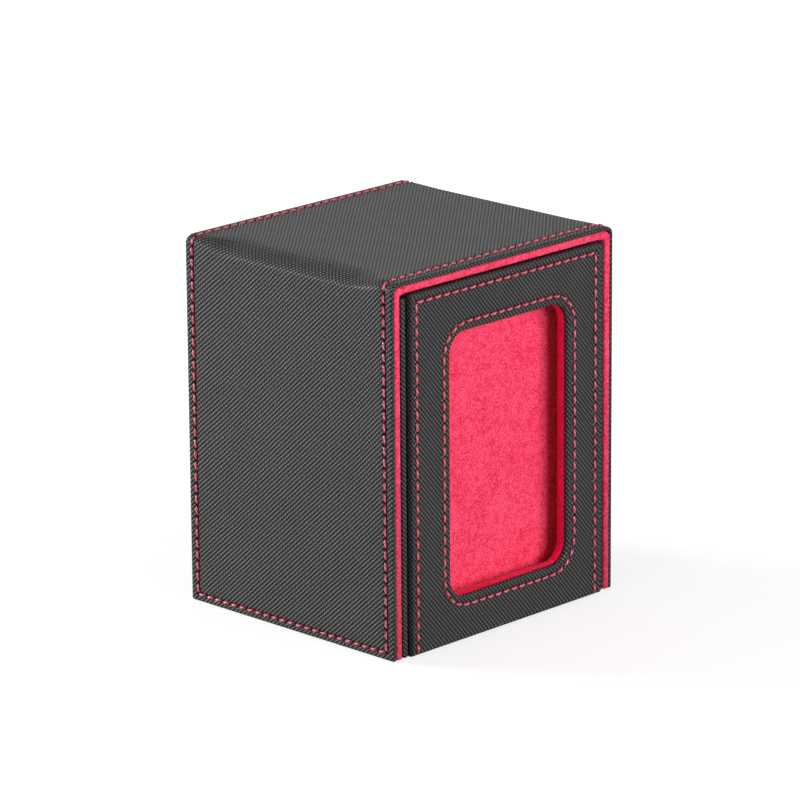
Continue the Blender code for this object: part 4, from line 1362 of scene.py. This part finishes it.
camera_data = bpy.data.cameras.new("camera")
camera_data.lens = FOCAL_PIXELS / IMAGE_PIXELS * camera_data.sensor_width
camera_data.clip_start = 0.05
camera_data.clip_end = 50.0
camera = bpy.data.objects.new("camera", camera_data)
bpy.context.scene.collection.objects.link(camera)
forward = Vector((math.sin(CAMERA_YAW) * math.cos(CAMERA_PITCH),
                  math.cos(CAMERA_YAW) * math.cos(CAMERA_PITCH), -math.sin(CAMERA_PITCH)))
level = Vector((math.cos(CAMERA_YAW), -math.sin(CAMERA_YAW), 0.0))
upright = level.cross(forward)
right = level * math.cos(CAMERA_ROLL) + upright * math.sin(CAMERA_ROLL)
up = upright * math.cos(CAMERA_ROLL) - level * math.sin(CAMERA_ROLL)
turn = Matrix((right, up, -forward)).transposed().to_4x4()
camera.matrix_world = Matrix.Translation(CAMERA_PLACE) @ turn
bpy.context.scene.camera = camera
bpy.context.scene.view_settings.view_transform = "Standard"
print("camera: %.0f mm lens, %.2f m away" % (camera_data.lens, CAMERA_PLACE.length))

# %% Floor
WHITE = (1.0, 1.0, 1.0, 1.0)
FLOOR_SIZE = 6.0
FLOOR_GAP = 0.1 * MM


def grey(value):
    """A grey for a shader's colour."""
    return (value, value, value, 1.0)


def pale_floor(name):
    """A pale floor that shows white to the camera but keeps a soft shadow."""
    material, tree, surface = new_material(name)
    tree.nodes.remove(surface)
    plain = add(tree, "ShaderNodeBsdfDiffuse", {"Color": grey(0.45)})
    shaded = add(tree, "ShaderNodeBsdfDiffuse", {"Color": grey(0.4)})
    place = add(tree, "ShaderNodeTexCoord").outputs["Object"]
    away = vector_calc(tree, "LENGTH", place, (0.0, 0.0, 0.0), "Value")
    glow = add(tree, "ShaderNodeEmission",
               {"Color": WHITE, "Strength": value_between(tree, away, 0.70, 1.05)})
    seen = add(tree, "ShaderNodeAddShader", {0: shaded.outputs[0], 1: glow.outputs[0]})
    ray = add(tree, "ShaderNodeLightPath").outputs["Is Camera Ray"]
    mix = add(tree, "ShaderNodeMixShader", {0: ray, 1: plain.outputs[0], 2: seen.outputs[0]})
    fill(tree, tree.nodes["Material Output"], {"Surface": mix.outputs[0]})
    return material


floor_shape = bmesh.new()
bmesh.ops.create_grid(floor_shape, x_segments=1, y_segments=1, size=FLOOR_SIZE)
bmesh.ops.translate(floor_shape, vec=UP * -FLOOR_GAP, verts=floor_shape.verts)
floor = piece_from(floor_shape, "studio_floor", pale_floor("pale_floor"), UP)
print("floor: %.0f m wide, %.1f mm under the box" % (2 * FLOOR_SIZE, FLOOR_GAP / MM))

# %% World
DIFFUSE_LEVEL = 0.18
WALL_TOP = 0.32
CEILING_START = 0.52
CEILING_LEVEL = 0.12


def studio_world():
    """White to the camera, white walls under a dim ceiling to a gloss, and soft to the rest."""
    world = bpy.data.worlds.new("studio")
    world.use_nodes = True
    tree = world.node_tree
    tree.nodes.clear()
    ray = add(tree, "ShaderNodeLightPath").outputs
    place = add(tree, "ShaderNodeTexCoord").outputs["Generated"]
    upwards = add(tree, "ShaderNodeSeparateXYZ", {0: place}).outputs[2]
    walls = add(tree, "ShaderNodeMapRange", {0: upwards, 1: WALL_TOP, 2: CEILING_START,
                                             3: 1.0, 4: CEILING_LEVEL})
    mirrored = calc(tree, "MAXIMUM", ray["Is Glossy Ray"], ray["Is Transmission Ray"])
    strength = value_between(tree, mirrored, DIFFUSE_LEVEL, walls.outputs[0])
    strength = value_between(tree, ray["Is Camera Ray"], strength, 1.0)
    back = add(tree, "ShaderNodeBackground", {"Color": WHITE, "Strength": strength})
    add(tree, "ShaderNodeOutputWorld", {"Surface": back.outputs[0]})
    return world


bpy.context.scene.world = studio_world()
print("world: %d nodes" % len(bpy.context.scene.world.node_tree.nodes))

# %% Lamps
BOX_MIDDLE = UP * (HEIGHT / 2)


def softbox(name, place, size, power):
    """A square lamp that faces the box."""
    data = bpy.data.lights.new(name, "AREA")
    data.shape = "SQUARE"
    data.size = size
    data.energy = power
    lamp = bpy.data.objects.new(name, data)
    facing = (Vector(place) - BOX_MIDDLE).to_track_quat("Z", "Y").to_matrix().to_4x4()
    lamp.matrix_world = Matrix.Translation(place) @ facing
    bpy.context.scene.collection.objects.link(lamp)


softbox("front_softbox", (0.10, -1.25, 0.30), 0.90, 19.2)
softbox("fill_softbox", (-1.25, -0.22, 0.30), 0.40, 3.0)
softbox("left_softbox", (-0.66, 1.22, 0.34), 0.50, 29.0)
softbox("rear_softbox", (0.95, 0.82, 0.47), 0.80, 0.6)
softbox("top_softbox", (0.1, 0.2, 1.3), 0.9, 1.5)
print("lamps:", ", ".join(lamp.name for lamp in bpy.data.lights))
